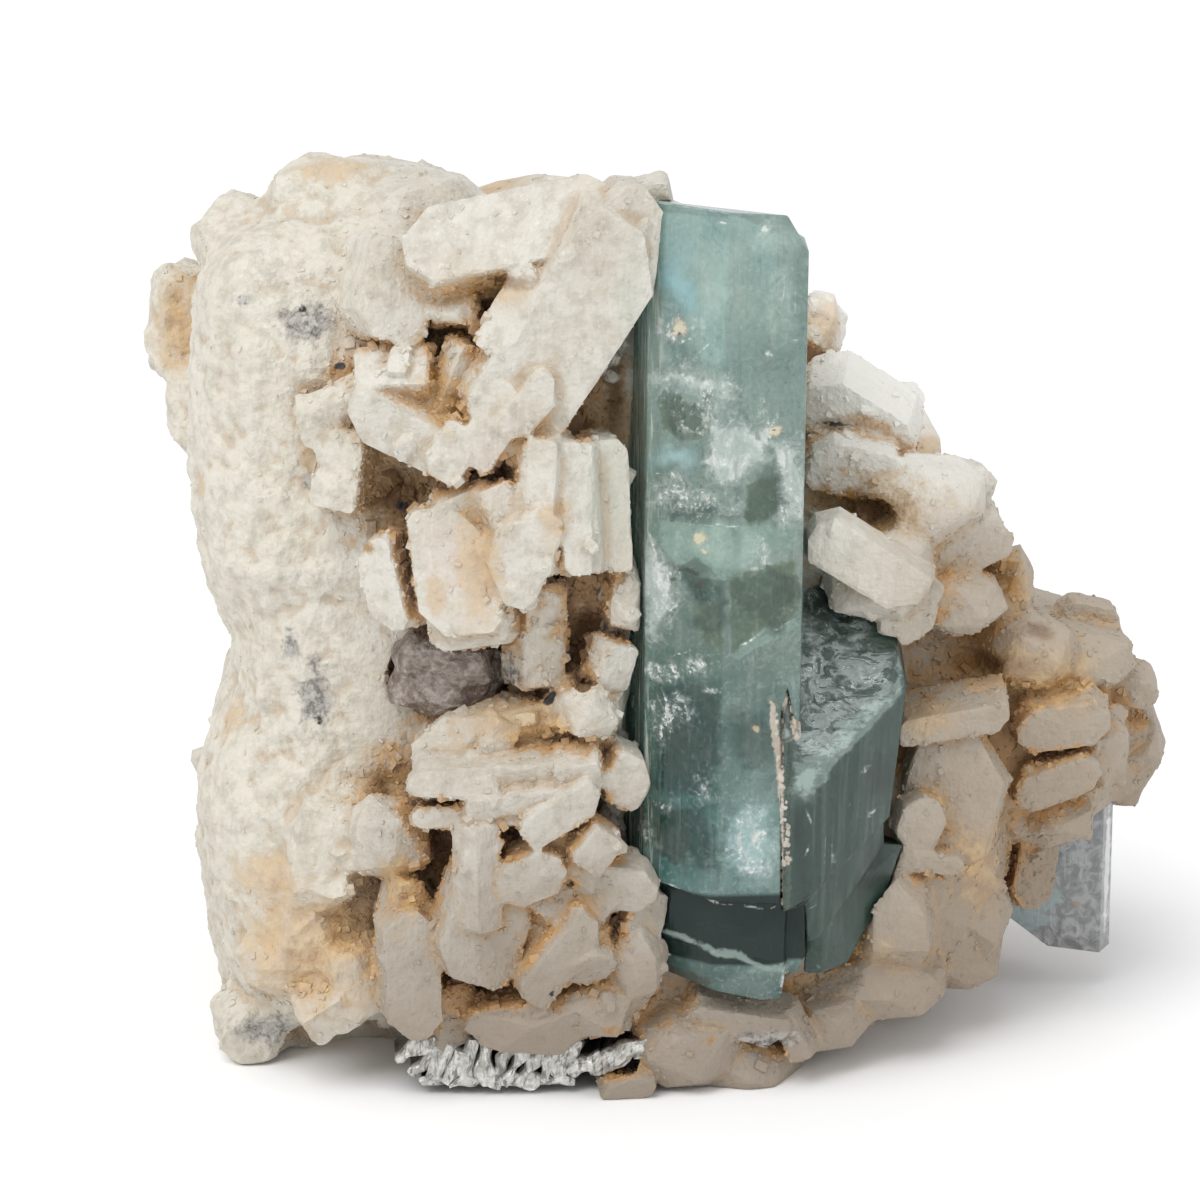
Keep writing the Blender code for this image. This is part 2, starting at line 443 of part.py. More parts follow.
# Mica sheets, each (x, y, z) of its middle, its length, depth and thickness, and its turn in degrees
MICA_SHEETS = [
    (-13.4, -17.4, 3.1, 23.0, 16.0, 1.5, 2),
    (-12.4, -18.0, 4.4, 20.0, 15.4, 1.3, -4),
    (-16.0, -17.0, 5.4, 15.0, 14.0, 1.2, 6),
    (-8.6, -18.4, 2.2, 14.6, 14.2, 1.3, -8),
    (-17.8, -17.8, 2.2, 9.0, 13.0, 1.2, 12),
    (-5.6, -18.0, 3.5, 9.6, 14.8, 1.2, -14),
]


def mica_mesh(name, swell=0.0):
    bm = bmesh.new()
    for x, y, z, length, depth, thick, turn in MICA_SHEETS:
        size = (length + 2 * swell, depth + 2 * swell, thick + 2 * swell)
        sheet = bmesh.ops.create_cube(bm, size=1.0)["verts"]
        bmesh.ops.scale(bm, verts=sheet, vec=size)
        lean = Matrix.Rotation(math.radians(turn), 4, "Y") @ Matrix.Rotation(math.radians(turn), 4, "Z")
        bmesh.ops.transform(bm, verts=sheet, matrix=Matrix.Translation((x, y, z)) @ lean)
    return finished_mesh(name, bm)


def quartz_mesh(name, swell=0.0):
    half = (5.8 + swell, 5.0 + swell, 4.6 + swell)
    return finished_mesh(name, rough_ball((-19.4, -18.6, 40.0), half, 3.0, 2, 0.16, 4.0))


def principled(name, colour, roughness, metallic=0.0):
    """A plain material of one colour, given as red, green and blue from 0 to 1."""
    material = bpy.data.materials.new(name)
    material.use_nodes = True
    shader = material.node_tree.nodes["Principled BSDF"]
    shader.inputs["Base Color"].default_value = (*colour, 1.0)
    shader.inputs["Roughness"].default_value = roughness
    shader.inputs["Metallic"].default_value = metallic
    material.diffuse_color = (*colour, 1.0)
    return material


def cut(obj, name, tool, operation):
    """Joins or cuts obj by another object, or by every object in a collection."""
    modifier = obj.modifiers.new(name, "BOOLEAN")
    modifier.operation = operation
    modifier.solver = "EXACT"
    if isinstance(tool, bpy.types.Collection):
        modifier.operand_type = "COLLECTION"
        modifier.collection = tool
    else:
        modifier.object = tool
    return modifier


def guide_collection(name, parent):
    home = bpy.data.collections.new(name)
    home.hide_render = True
    parent.children.link(home)
    return home


def guide(name, mesh, home):
    obj = new_object(name, mesh, home)
    obj.hide_render = True
    obj.display_type = "WIRE"
    return obj


def joined_mesh(name, meshes):
    bm = bmesh.new()
    for mesh in meshes:
        bm.from_mesh(mesh)
        bpy.data.meshes.remove(mesh)
    joined = bpy.data.meshes.new(name)
    bm.to_mesh(joined)
    bm.free()
    return joined


def ground_box():
    """Everything below the specimen's underside."""
    bm = bmesh.new()
    bmesh.ops.create_cube(bm, size=1.0)
    bmesh.ops.scale(bm, verts=bm.verts, vec=(160, 160, 40))
    bmesh.ops.translate(bm, verts=bm.verts, vec=(0, 0, -20))
    return finished_mesh("ground", bm)


def make_matrix(home, guides):
    """Boulders and lumps run together, hollows cut in them, blades grown on and sockets left."""
    rounded = [boulder_mesh(b) for b in BOULDERS] + [lump_mesh(lump) for lump in LUMPS]
    rounded += hidden_lumps()
    matrix = new_object("albite_matrix", joined_mesh("albite_matrix", rounded), home)

    run_together = matrix.modifiers.new("run together", "REMESH")
    run_together.mode = "VOXEL"
    run_together.voxel_size = FUSING_STEP * MM
    facets = matrix.modifiers.new("facets", "DECIMATE")
    facets.ratio = FACETS_KEPT

    hollows = guide_collection("hollows", guides)
    for hollow in HOLLOWS:
        guide(hollow.name, lump_mesh(hollow), hollows)
    cut(matrix, "hollows", hollows, "DIFFERENCE")

    blades = guide_collection("blades", guides)
    for blade in UPPER_BLADES + MIDDLE_BLADES + LOWER_BLADES + RIGHT_BLADES:
        guide(blade.name, blade_mesh(blade), blades)
    for growth in HIDDEN_GROWTH:
        mesh = growth_mesh(growth)
        guide(mesh.name, mesh, blades)
    cut(matrix, "blades", blades, "UNION")

    sockets = guide_collection("sockets", guides)
    guide("tall socket", tall_mesh("tall socket", CONTACT_GAP), sockets)
    guide("short socket", short_mesh("short socket", CONTACT_GAP), sockets)
    guide("side socket", side_mesh("side socket", CONTACT_GAP), sockets)
    guide("mica socket", mica_mesh("mica socket", CONTACT_GAP), sockets)
    guide("quartz socket", quartz_mesh("quartz socket", CONTACT_GAP), sockets)
    cut(matrix, "sockets", sockets, "DIFFERENCE").use_self = True

    cut(matrix, "flat underside", guide("ground", ground_box(), guides), "DIFFERENCE")
    matrix.data.materials.append(principled("albite", (0.62, 0.56, 0.46), 0.75))


def make_crystals(home, guides):
    tall = new_object("aquamarine_tall", tall_mesh("aquamarine_tall"), home)
    tall.data.materials.append(principled("aquamarine", (0.24, 0.42, 0.38), 0.12))
    neighbour = guide("short crystal gap", short_mesh("short crystal gap", CONTACT_GAP), guides)
    cut(tall, "room for the short crystal", neighbour, "DIFFERENCE")

    short = new_object("aquamarine_short", short_mesh("aquamarine_short"), home)
    short.data.materials.append(principled("aquamarine short", (0.13, 0.20, 0.18), 0.2))

    side = new_object("aquamarine_side", side_mesh("aquamarine_side"), home)
    side.data.materials.append(principled("aquamarine side", (0.30, 0.34, 0.34), 0.1))

    quartz = new_object("smoky_quartz", quartz_mesh("smoky_quartz"), home)
    quartz.data.materials.append(principled("quartz", (0.16, 0.12, 0.10), 0.2))

    mica = new_object("muscovite_book", mica_mesh("muscovite_book"), home)
    mica.data.materials.append(principled("muscovite", (0.42, 0.41, 0.39), 0.3, 0.2))
    whole = guide("all of the book", mica_mesh("all of the book"), guides)
    cut(mica, "one book", whole, "INTERSECT").use_self = True


def main():
    for obj in list(bpy.data.objects):
        bpy.data.objects.remove(obj, do_unlink=True)
    home = bpy.data.collections.new("aquamarine_on_albite")
    guides = bpy.data.collections.new("guides")
    guides.hide_render = True
    bpy.context.scene.collection.children.link(home)
    bpy.context.scene.collection.children.link(guides)
    make_matrix(home, guides)
    make_crystals(home, guides)


main()
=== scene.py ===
# %% [markdown]
# # Aquamarine crystals on white albite
# The object is a loose mineral specimen. A tall clear blue-green crystal stands in front of a lump of
# white feldspar, a short broken crystal leans on its right side and a grey one hangs below the right
# arm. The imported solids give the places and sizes, and this script gives the specimen its finish.
# We start by loading those solids, because everything else is made around them.

import math
import random

import bmesh
import bpy
import numpy as np
from mathutils import Matrix, Vector, noise
from mathutils.bvhtree import BVHTree


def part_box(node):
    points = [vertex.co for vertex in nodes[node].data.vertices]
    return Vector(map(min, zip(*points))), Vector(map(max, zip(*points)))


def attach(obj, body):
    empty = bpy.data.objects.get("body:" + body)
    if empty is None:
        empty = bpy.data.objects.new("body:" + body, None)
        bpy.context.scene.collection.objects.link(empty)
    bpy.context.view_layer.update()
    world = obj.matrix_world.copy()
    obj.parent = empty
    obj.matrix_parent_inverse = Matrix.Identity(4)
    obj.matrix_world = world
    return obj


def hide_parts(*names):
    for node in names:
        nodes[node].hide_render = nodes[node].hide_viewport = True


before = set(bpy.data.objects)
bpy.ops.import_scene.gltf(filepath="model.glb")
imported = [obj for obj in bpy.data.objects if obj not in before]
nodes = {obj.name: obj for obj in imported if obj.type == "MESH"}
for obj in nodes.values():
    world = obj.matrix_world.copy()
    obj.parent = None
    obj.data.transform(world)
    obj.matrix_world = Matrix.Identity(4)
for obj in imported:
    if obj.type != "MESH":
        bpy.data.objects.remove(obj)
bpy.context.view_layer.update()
print("solids:", ", ".join(sorted(nodes)))

# %% [markdown]
# ## The camera
# The specimen was photographed from a little above with a long lens. The same view is needed twice:
# for the camera, and to place small marks such as stains where the eye sees them. So its numbers are
# named once, with lengths in metres.

# %% The viewpoint and the camera
MM = 0.001
EYE_DISTANCE = 300 * MM
EYE_ANGLE = math.radians(13)
MIDDLE = Vector((-5.5, 0, 42.3)) * MM
SIGHT = Vector((0, math.cos(EYE_ANGLE), -math.sin(EYE_ANGLE)))
RISE = Vector((0, math.sin(EYE_ANGLE), math.cos(EYE_ANGLE)))
EYE = MIDDLE - EYE_DISTANCE * SIGHT

camera = bpy.data.objects.new("camera", bpy.data.cameras.new("camera"))
camera.data.lens = 90
camera.data.sensor_width = 36
camera.data.clip_start = 0.01
camera.data.clip_end = 20
camera.location = EYE
camera.rotation_euler = SIGHT.to_track_quat("-Z", "Y").to_euler()
bpy.context.scene.collection.objects.link(camera)
bpy.context.scene.camera = camera


def seen(across, up, depth):
    """The point at y = depth behind (across, up) on the picture plane through MIDDLE, all in mm."""
    ray = EYE_DISTANCE * SIGHT + Vector((across * MM, 0, 0)) + up * MM * RISE
    return EYE + ray * ((depth * MM - EYE.y) / ray.y)


def in_picture(points):
    """Where points, as rows of metres, lie on the picture plane: across and up in mm."""
    from_eye = points - np.array(EYE)
    away = from_eye @ np.array(SIGHT)
    across = from_eye[:, 0] / away * EYE_DISTANCE / MM
    up = from_eye @ np.array(RISE) / away * EYE_DISTANCE / MM
    return across, up


print("camera at", [round(c / MM) for c in camera.location], "mm")

# %% [markdown]
# ## Floor and light
# White stone on white paper needs soft light from every side, with one broader light from the upper
# left so that the blades still cast shade on each other. Clear crystals show their faces only when
# the surroundings are uneven, so the world is a light grey and the lamps are large white panels.

# %% Floor, world and lamps
def panel_lamp(name, place, size, power):
    """A square soft light that faces the specimen. place is in mm."""
    lamp = bpy.data.lights.new(name, "AREA")
    lamp.size = size * MM
    lamp.energy = power
    obj = bpy.data.objects.new(name, lamp)
    obj.location = Vector(place) * MM
    obj.rotation_euler = (MIDDLE - obj.location).to_track_quat("-Z", "Y").to_euler()
    bpy.context.scene.collection.objects.link(obj)


def broad_light(name, toward, strength, softness):
    """Even light on everything, as from a large softbox. toward is the way it shines."""
    lamp = bpy.data.lights.new(name, "SUN")
    lamp.energy = strength
    lamp.angle = math.radians(softness)
    obj = bpy.data.objects.new(name, lamp)
    obj.rotation_euler = Vector(toward).to_track_quat("-Z", "Y").to_euler()
    bpy.context.scene.collection.objects.link(obj)


broad_light("overhead softbox", (0.30, 0.44, -0.85), 1.5, 42)
panel_lamp("key light", (-300, -400, 420), 200, 0.35)
panel_lamp("side light", (420, -240, 300), 160, 0.30)

world = bpy.data.worlds.new("studio")
bpy.context.scene.world = world
world.use_nodes = True
world.node_tree.nodes["Background"].inputs["Color"].default_value = (0.97, 0.98, 1.0, 1)
world.node_tree.nodes["Background"].inputs["Strength"].default_value = 0.70
bpy.context.scene.view_settings.view_transform = "Standard"

bm = bmesh.new()
bmesh.ops.create_grid(bm, x_segments=1, y_segments=1, size=6)
floor_mesh = bpy.data.meshes.new("floor")
bm.to_mesh(floor_mesh)
bm.free()
floor = bpy.data.objects.new("floor", floor_mesh)
bpy.context.scene.collection.objects.link(floor)

# %% [markdown]
# ## Shader maths
# Each finish is a recipe of noise and masks. Written as Python sums, a recipe is short enough to read,
# so one class wraps a node's output and gives it plus, minus, times and divide. A second class makes
# the nodes. All patterns are measured in millimetres of the object's own space.

# %% A value that varies over a surface
class Varying:
    """One node output. Sums on it add Math nodes."""

    def __init__(self, finish, socket):
        self.finish = finish
        self.socket = socket

    def maths(self, operation, first, second=0.0):
        return self.finish.node("ShaderNodeMath", {"operation": operation}, {0: first, 1: second})

    def __add__(self, other):
        return self.maths("ADD", self, other)

    def __sub__(self, other):
        return self.maths("SUBTRACT", self, other)

    def __rsub__(self, other):
        return self.maths("SUBTRACT", other, self)

    def __mul__(self, other):
        return self.maths("MULTIPLY", self, other)

    def __truediv__(self, other):
        return self.maths("DIVIDE", self, other)

    def __pow__(self, other):
        return self.maths("POWER", self, other)

    def line(self, width):
        """1 along the places where a noise is a half, fading out width to either side."""
        return self.finish.step(self.maths("ABSOLUTE", self - 0.5), width, 0)

    def larger(self, other):
        return self.maths("MAXIMUM", self, other)

    def smaller(self, other):
        return self.maths("MINIMUM", self, other)

    __radd__ = __add__
    __rmul__ = __mul__


# %% A finish and its nodes
class Finish:
    """A material and the patterns it is made of."""

    def __init__(self, name):
        self.material = bpy.data.materials.new(name)
        self.material.use_nodes = True
        self.tree = self.material.node_tree
        self.tree.nodes.clear()
        self.out = self.tree.nodes.new("ShaderNodeOutputMaterial")
        place = self.node("ShaderNodeTexCoord", output="Object")
        self.mm = self.vector("SCALE", place, Scale=1 / MM)

    def node(self, kind, settings=None, inputs=None, output=0):
        """Makes one node. settings go first, as some of them change which sockets there are."""
        made = self.tree.nodes.new(kind)
        for name, value in (settings or {}).items():
            if name == "stops":
                self.set_stops(made.color_ramp, value)
            else:
                setattr(made, name, value)
        for name, value in (inputs or {}).items():
            self.feed(made.inputs[name], value)
        return Varying(self, made.outputs[output])

    def feed(self, socket, value):
        if isinstance(value, Varying):
            self.tree.links.new(value.socket, socket)
        elif socket.type == "RGBA" and len(value) == 3:
            socket.default_value = (*value, 1)
        else:
            socket.default_value = value

    def set_stops(self, ramp, stops):
        while len(ramp.elements) < len(stops):
            ramp.elements.new(0.5)
        for element, (place, colour) in zip(ramp.elements, stops):
            element.position = place
            element.color = (*colour, 1)

    def vector(self, operation, first, second=(0, 0, 0), **others):
        inputs = {0: first, 1: second, **others}
        output = "Value" if operation in ("LENGTH", "DOT_PRODUCT") else "Vector"
        return self.node("ShaderNodeVectorMath", {"operation": operation}, inputs, output)

    def noise(self, size, detail=3.0, rough=0.5, at=None, warp=0.0, stretch=None):
        """Cloudy noise from 0 to 1, with features size mm across."""
        at = at or self.mm
        if stretch:
            at = self.vector("DIVIDE", at, stretch)
        inputs = {"Vector": at, "Scale": 1 / size, "Detail": detail, "Roughness": rough}
        inputs["Distortion"] = warp
        return self.node("ShaderNodeTexNoise", None, inputs, "Fac")

    def cells(self, size, feature="F1", at=None, random_place=1.0, output="Distance"):
        inputs = {"Vector": at or self.mm, "Scale": 1 / size, "Randomness": random_place}
        return self.node("ShaderNodeTexVoronoi", {"feature": feature}, inputs, output)

    def step(self, value, low, high):
        """0 below low, 1 above high, smooth between. low may be the larger one."""
        inputs = {"Value": value, "From Min": low, "From Max": high}
        return self.node("ShaderNodeMapRange", {"interpolation_type": "SMOOTHSTEP"}, inputs)

    def blend(self, share, first, second, how="MIX"):
        """Two colours mixed by share, from 0 to 1."""
        settings = {"data_type": "RGBA", "blend_type": how}
        return self.node("ShaderNodeMix", settings, {0: share, 6: first, 7: second}, 2)

    def attribute(self, name):
        return self.node("ShaderNodeAttribute", {"attribute_name": name}, None, "Fac")

    def split(self, vector):
        made = self.tree.nodes.new("ShaderNodeSeparateXYZ")
        self.feed(made.inputs[0], vector)
        return [Varying(self, made.outputs[axis]) for axis in "XYZ"]

    def bump(self, height, depth, strength=1.0, normal=None):
        """Relief whose height 1 stands depth mm proud."""
        inputs = {"Height": height, "Distance": depth * MM, "Strength": strength}
        if normal:
            inputs["Normal"] = normal
        return self.node("ShaderNodeBump", None, inputs)

    def shader(self, colour, roughness, **others):
        inputs = {"Base Color": colour, "Roughness": roughness}
        inputs.update({name.replace("_", " "): value for name, value in others.items()})
        return self.node("ShaderNodeBsdfPrincipled", None, inputs)

    def mix_shaders(self, share, first, second):
        return self.node("ShaderNodeMixShader", None, {0: share, 1: first, 2: second})

    def finish(self, surface, volume=None):
        self.feed(self.out.inputs["Surface"], surface)
        if volume:
            self.feed(self.out.inputs["Volume"], volume)
        return self.material


paper = Finish("pale paper")
paper_tone = paper.blend(paper.noise(40, 2), (0.97, 0.97, 0.97), (0.98, 0.98, 0.98))
floor.data.materials.append(paper.finish(paper.shader(paper_tone, 0.9)))
print("floor finish has", len(paper.tree.nodes), "nodes")

# %% [markdown]
# ## The rock's shape
# Albite grows as blocky white blades, and each large blade carries smaller ones and a sugary skin. The
# solid has the large blades. We copy it, set seeded small blocks on its skin, and fuse everything with
# a voxel remesh, which rounds the joints the way real intergrown crystals look. Fine noise then
# roughens the skin, and Decimate spends the triangles where the relief needs them.

# %% Copy a solid with its loose corners merged
def merged_copy(node):
    """A bmesh of a CAD node in metres, with its loose triangles joined."""
    bm = bmesh.new()
    bm.from_mesh(nodes[node].data)
    bmesh.ops.remove_doubles(bm, verts=bm.verts, dist=0.001 * MM)
    return bm


def as_mesh(name, bm):
    mesh = bpy.data.meshes.new(name)
    bm.to_mesh(mesh)
    bm.free()
    return mesh


def as_object(name, mesh):
    obj = bpy.data.objects.new(name, mesh)
    bpy.context.scene.collection.objects.link(obj)
    return obj


crystal_names = ["aquamarine_tall", "aquamarine_short", "aquamarine_side"]
crystal_skins = [BVHTree.FromBMesh(merged_copy(name)) for name in crystal_names]


def gap_to_crystals(point):
    """The distance in metres from a point to the nearest aquamarine."""
    return min(skin.find_nearest(point)[3] for skin in crystal_skins)


rock = merged_copy("albite_matrix")
print("rock starts with", len(rock.faces), "faces")

# %% A small blocky crystal
def small_block(name, corner_cut):
    """A block 1 m long, to be scaled, with its upright corners cut."""
    bm = bmesh.new()
    bmesh.ops.create_cube(bm, size=1)
    upright = [e for e in bm.edges if abs(e.verts[0].co.z - e.verts[1].co.z) > 0.5]
    bmesh.ops.bevel(
        bm, geom=upright, offset=corner_cut, offset_type="OFFSET", affect="EDGES", segments=1,
        profile=0.5, material=-1,
    )
    top = [v for v in bm.verts if v.co.z > 0]
    bmesh.ops.scale(bm, verts=top, vec=(0.9, 0.84, 1))
    return as_mesh(name, bm)


blocks = [small_block(f"block {i}", cut) for i, cut in enumerate((0.10, 0.2, 0.3))]
print("each small block has", len(blocks[0].vertices), "corners")

# %% Set small blocks on the rock
LEFT_BLOCK_EDGE = -28 * MM
dice = random.Random(21)


def place_on_skin(bm, tries, chooser):
    """Area-weighted random places on a bmesh, as (point, normal), kept where chooser allows."""
    faces = [f for f in bm.faces]
    areas = [f.calc_area() for f in faces]
    for face in dice.choices(faces, weights=areas, k=tries):
        corners = [v.co for v in face.verts]
        a, b = sorted((dice.random(), dice.random()))
        point = corners[0] * a + corners[1] * (b - a) + corners[2] * (1 - b)
        if chooser(point, face.normal):
            yield point, face.normal


def carries_blocks(point, normal):
    """Not on the smooth left block's front, not underneath and not in the crystals' sockets."""
    smooth_side = point.x < LEFT_BLOCK_EDGE and point.y < 15 * MM and point.z > 24 * MM
    if smooth_side and dice.random() < 0.97:
        return False
    return point.z > 2 * MM and normal.z > -0.9 and gap_to_crystals(point) > 0.9 * MM


def grow_blocks(tries, shortest, longest, sunk):
    grown = bmesh.new()
    count = 0
    for point, normal in place_on_skin(rock, tries, carries_blocks):
        length = dice.uniform(shortest, longest) * MM
        width = length * dice.uniform(0.45, 0.8)
        height = length * dice.uniform(0.5, 0.9)
        lean = Matrix.Rotation(dice.gauss(0, 0.35), 4, "X") @ Matrix.Rotation(dice.gauss(0, 0.35), 4, "Y")
        stand = normal.to_track_quat("Z", "Y").to_matrix().to_4x4()
        spin = Matrix.Rotation(dice.uniform(0, math.pi), 4, "Z")
        size = Matrix.Diagonal((length, width, height, 1))
        centre = point - normal * height * sunk
        copy = dice.choice(blocks).copy()
        copy.transform(Matrix.Translation(centre) @ stand @ spin @ lean @ size)
        grown.from_mesh(copy)
        bpy.data.meshes.remove(copy)
        count += 1
    rock.from_mesh(as_mesh("grown", grown))
    return count


large_count = grow_blocks(70, 2.2, 3.4, 0.2)
small_count = grow_blocks(520, 1.0, 2.0, 0.2)
print("grew", large_count, "larger and", small_count, "smaller blocks")

# %% Fuse the blocks and the rock
FUSING_STEP = 0.26 * MM
rock_object = as_object("albite_rock", as_mesh("albite_rock", rock))


def apply_modifiers(obj):
    """Leaves the object with the mesh that its modifiers make."""
    graph = bpy.context.evaluated_depsgraph_get()
    made = bpy.data.meshes.new_from_object(obj.evaluated_get(graph))
    obj.modifiers.clear()
    old = obj.data
    obj.data = made
    made.name = old.name
    bpy.data.meshes.remove(old)


fuse = rock_object.modifiers.new("fuse", "REMESH")
fuse.mode = "VOXEL"
fuse.voxel_size = FUSING_STEP
apply_modifiers(rock_object)
print("fused rock has", len(rock_object.data.vertices), "points")

# %% Read and write a mesh's points as rows
def points_of(mesh):
    rows = np.zeros(len(mesh.vertices) * 3, np.float32)
    mesh.vertices.foreach_get("co", rows)
    return rows.reshape(-1, 3).astype(float)


def normals_of(mesh):
    rows = np.zeros(len(mesh.vertices) * 3, np.float32)
    mesh.vertices.foreach_get("normal", rows)
    return rows.reshape(-1, 3).astype(float)


def set_points(mesh, rows):
    mesh.vertices.foreach_set("co", rows.astype(np.float32).ravel())
    mesh.update()


def smoothed(mesh, rows, rounds, share=0.5):
    """Rows of values at the points, each moved share of the way to its neighbours' mean."""
    ends = np.zeros(len(mesh.edges) * 2, np.int32)
    mesh.edges.foreach_get("vertices", ends)
    ends = ends.reshape(-1, 2)
    count = np.bincount(ends.ravel(), minlength=len(rows))[:, None].clip(1)
    for turn in range(rounds):
        total = np.zeros_like(rows)
        for column in range(rows.shape[1]):
            total[:, column] = np.bincount(ends[:, 0], rows[ends[:, 1], column], len(rows))
            total[:, column] += np.bincount(ends[:, 1], rows[ends[:, 0], column], len(rows))
        rows = rows + share * (total / count - rows)
    return rows


# %% Roughen the skin
def left_block_share(point):
    """1 on the massive block at the left and 0 elsewhere, for a point in mm."""
    return min(max((-26 - point.x) / 5, 0), 1)


def roughness_at(point):
    """Height in mm of the sugary relief at a point given in mm."""
    broad = noise.fractal(point / 6.0, 1.0, 2.0, 2)
    fine = noise.fractal(point / 0.9 + Vector((9, 9, 9)), 0.8, 2.0, 2)
    near, second = noise.voronoi(point / 1.5)[0][:2]
    block = left_block_share(point)
    chunks = noise.voronoi(point / 3.2)[0][0]
    coarse = noise.fractal(point / 2.4, 0.8, 2.0, 3)
    return 0.09 * broad + 0.04 * fine + 0.05 * (second - near) + block * (0.30 * coarse - 0.5 * chunks)


def roughen(mesh):
    rows = smoothed(mesh, points_of(mesh), 1, 0.3)
    set_points(mesh, rows)
    outward = normals_of(mesh)
    height = np.array([roughness_at(Vector(row)) for row in rows / MM])
    flat_floor = np.clip(rows[:, 2] / (1.5 * MM), 0, 1)
    rows = rows + outward * (height * flat_floor * MM)[:, None]
    rows[:, 2] = rows[:, 2].clip(0, None)
    set_points(mesh, rows)


roughen(rock_object.data)
print("roughened; the rock is now", [round(d / MM, 1) for d in rock_object.dimensions], "mm")

# %% Keep the triangles for the side that is looked at
KEPT_TRIANGLES = 196000


def triangle_count(mesh):
    mesh.calc_loop_triangles()
    return len(mesh.loop_triangles)


def favour_front(obj):
    """A vertex group that is high where Decimate may thin the mesh."""
    rows = points_of(obj.data)
    behind = np.clip((rows[:, 1] / MM - 2) / 14, 0, 1)
    group = obj.vertex_groups.new(name="may be thinned")
    for level in range(11):
        chosen = np.nonzero(np.round(behind * 10) == level)[0]
        group.add([int(i) for i in chosen], 0.34 + 0.05 * level, "REPLACE")
    return group


thin = rock_object.modifiers.new("thin", "DECIMATE")
thin.vertex_group = favour_front(rock_object).name
thin.vertex_group_factor = 1.0
thin.ratio = KEPT_TRIANGLES / triangle_count(rock_object.data)
apply_modifiers(rock_object)
rock_object.vertex_groups.clear()
print("thinned to", triangle_count(rock_object.data), "triangles")

# %% [markdown]
# ## Where the rock is stained and painted with shade
# The skin is white where it stands proud and tan where dust and iron oxide have settled. The first is
# worked out: rays from each point tell how shut in it is. The second is placed one by one. Each mark is
# given where it is seen, across and up on the picture plane, and the skin it falls on is found with a
# ray. From there it spreads in space like a real stain, so it looks the same from any side. Some tan,
# brown, black and green marks are painted shade instead: under the shelf, deep in hollows and pockets
# and beside the tall crystal. Both are kept as numbers on the mesh's points, which the finish then reads.

# %% How shut in each point is
def shut_in(mesh, rays=20, reach=11 * MM):
    """From 0 in the open to 1 in a deep hollow, for each point."""
    places = points_of(mesh)
    outward = normals_of(mesh)
    corners = [Vector(row) for row in places]
    tree = BVHTree.FromPolygons(corners, [tuple(p.vertices) for p in mesh.polygons])
    turns = np.arange(rays) * math.pi * (3 - math.sqrt(5))
    rises = 1 - 2 * (np.arange(rays) + 0.5) / rays
    flats = np.sqrt(1 - rises**2)
    spread = np.stack([flats * np.cos(turns), flats * np.sin(turns), rises], 1)
    facing = outward @ spread.T
    blocked = np.zeros(len(places))
    for index, way in enumerate(spread):
        ray = Vector(way)
        for point in np.nonzero(facing[:, index] > 0.15)[0]:
            start = corners[point] + Vector(outward[point]) * 0.15 * MM
            hit = tree.ray_cast(start, ray, reach)
            if hit[0]:
                blocked[point] += facing[point, index] * (1 - 0.5 * hit[3] / reach)
    total = np.where(facing > 0.15, facing, 0).sum(1)
    return blocked / total.clip(0.001)


def keep_numbers(mesh, name, values):
    mesh.attributes.new(name, "FLOAT", "POINT").data.foreach_set("value", values.astype(np.float32))


rock_mesh = rock_object.data
shade = smoothed(rock_mesh, shut_in(rock_mesh)[:, None], 2)
keep_numbers(rock_mesh, "hollow", shade[:, 0])
rows = points_of(rock_mesh)
dent = ((smoothed(rock_mesh, rows, 10) - rows) * normals_of(rock_mesh)).sum(1)
keep_numbers(rock_mesh, "dent", dent / MM)
print("shut-in share of a tenth, half and nine tenths:", np.quantile(shade, (0.1, 0.5, 0.9)).round(2))

# %% The marks on the rock, each as across, up, half width, half height in mm
# Tan marks: iron stain, and painted shade under the shelf and beside the small growth at the left.
TAN_STAIN_AND_SHADE_MARKS = [
    (-15, 27, 4, 3), (-10.5, 31.5, 7, 2), (-42.5, 27.5, 3, 7), (-8.5, -12, 8, 2.6), (-29.5, -35.5, 9, 8),
    (-10, 41.5, 7, 1.6), (-27, 43, 5, 1.6), (23, 28, 2.4, 4), (-15.5, 20, 3, 4), (-22, -19, 3, 5),
    (28, 9.5, 9, 4), (41.5, 1, 2.4, 3.6), (39.5, -6.5, 8, 3.4), (32.5, -11.5, 4, 3), (-40, 11.5, 2, 1.4),
    (-20.5, 11, 4.6, 4.6), (-20, -29, 2.5, 5), (32, 15, 5, 2), (24, -33, 8, 3), (46, -8, 5, 4), (-12, 3, 3, 7),
    (-4.5, 8, 2, 3), (-33, -28, 6, 3), (38, -26, 4, 6), (-16.5, 0.5, 1.2, 3), (2, 18, 2, 6), (-37, -12, 2, 3),
]
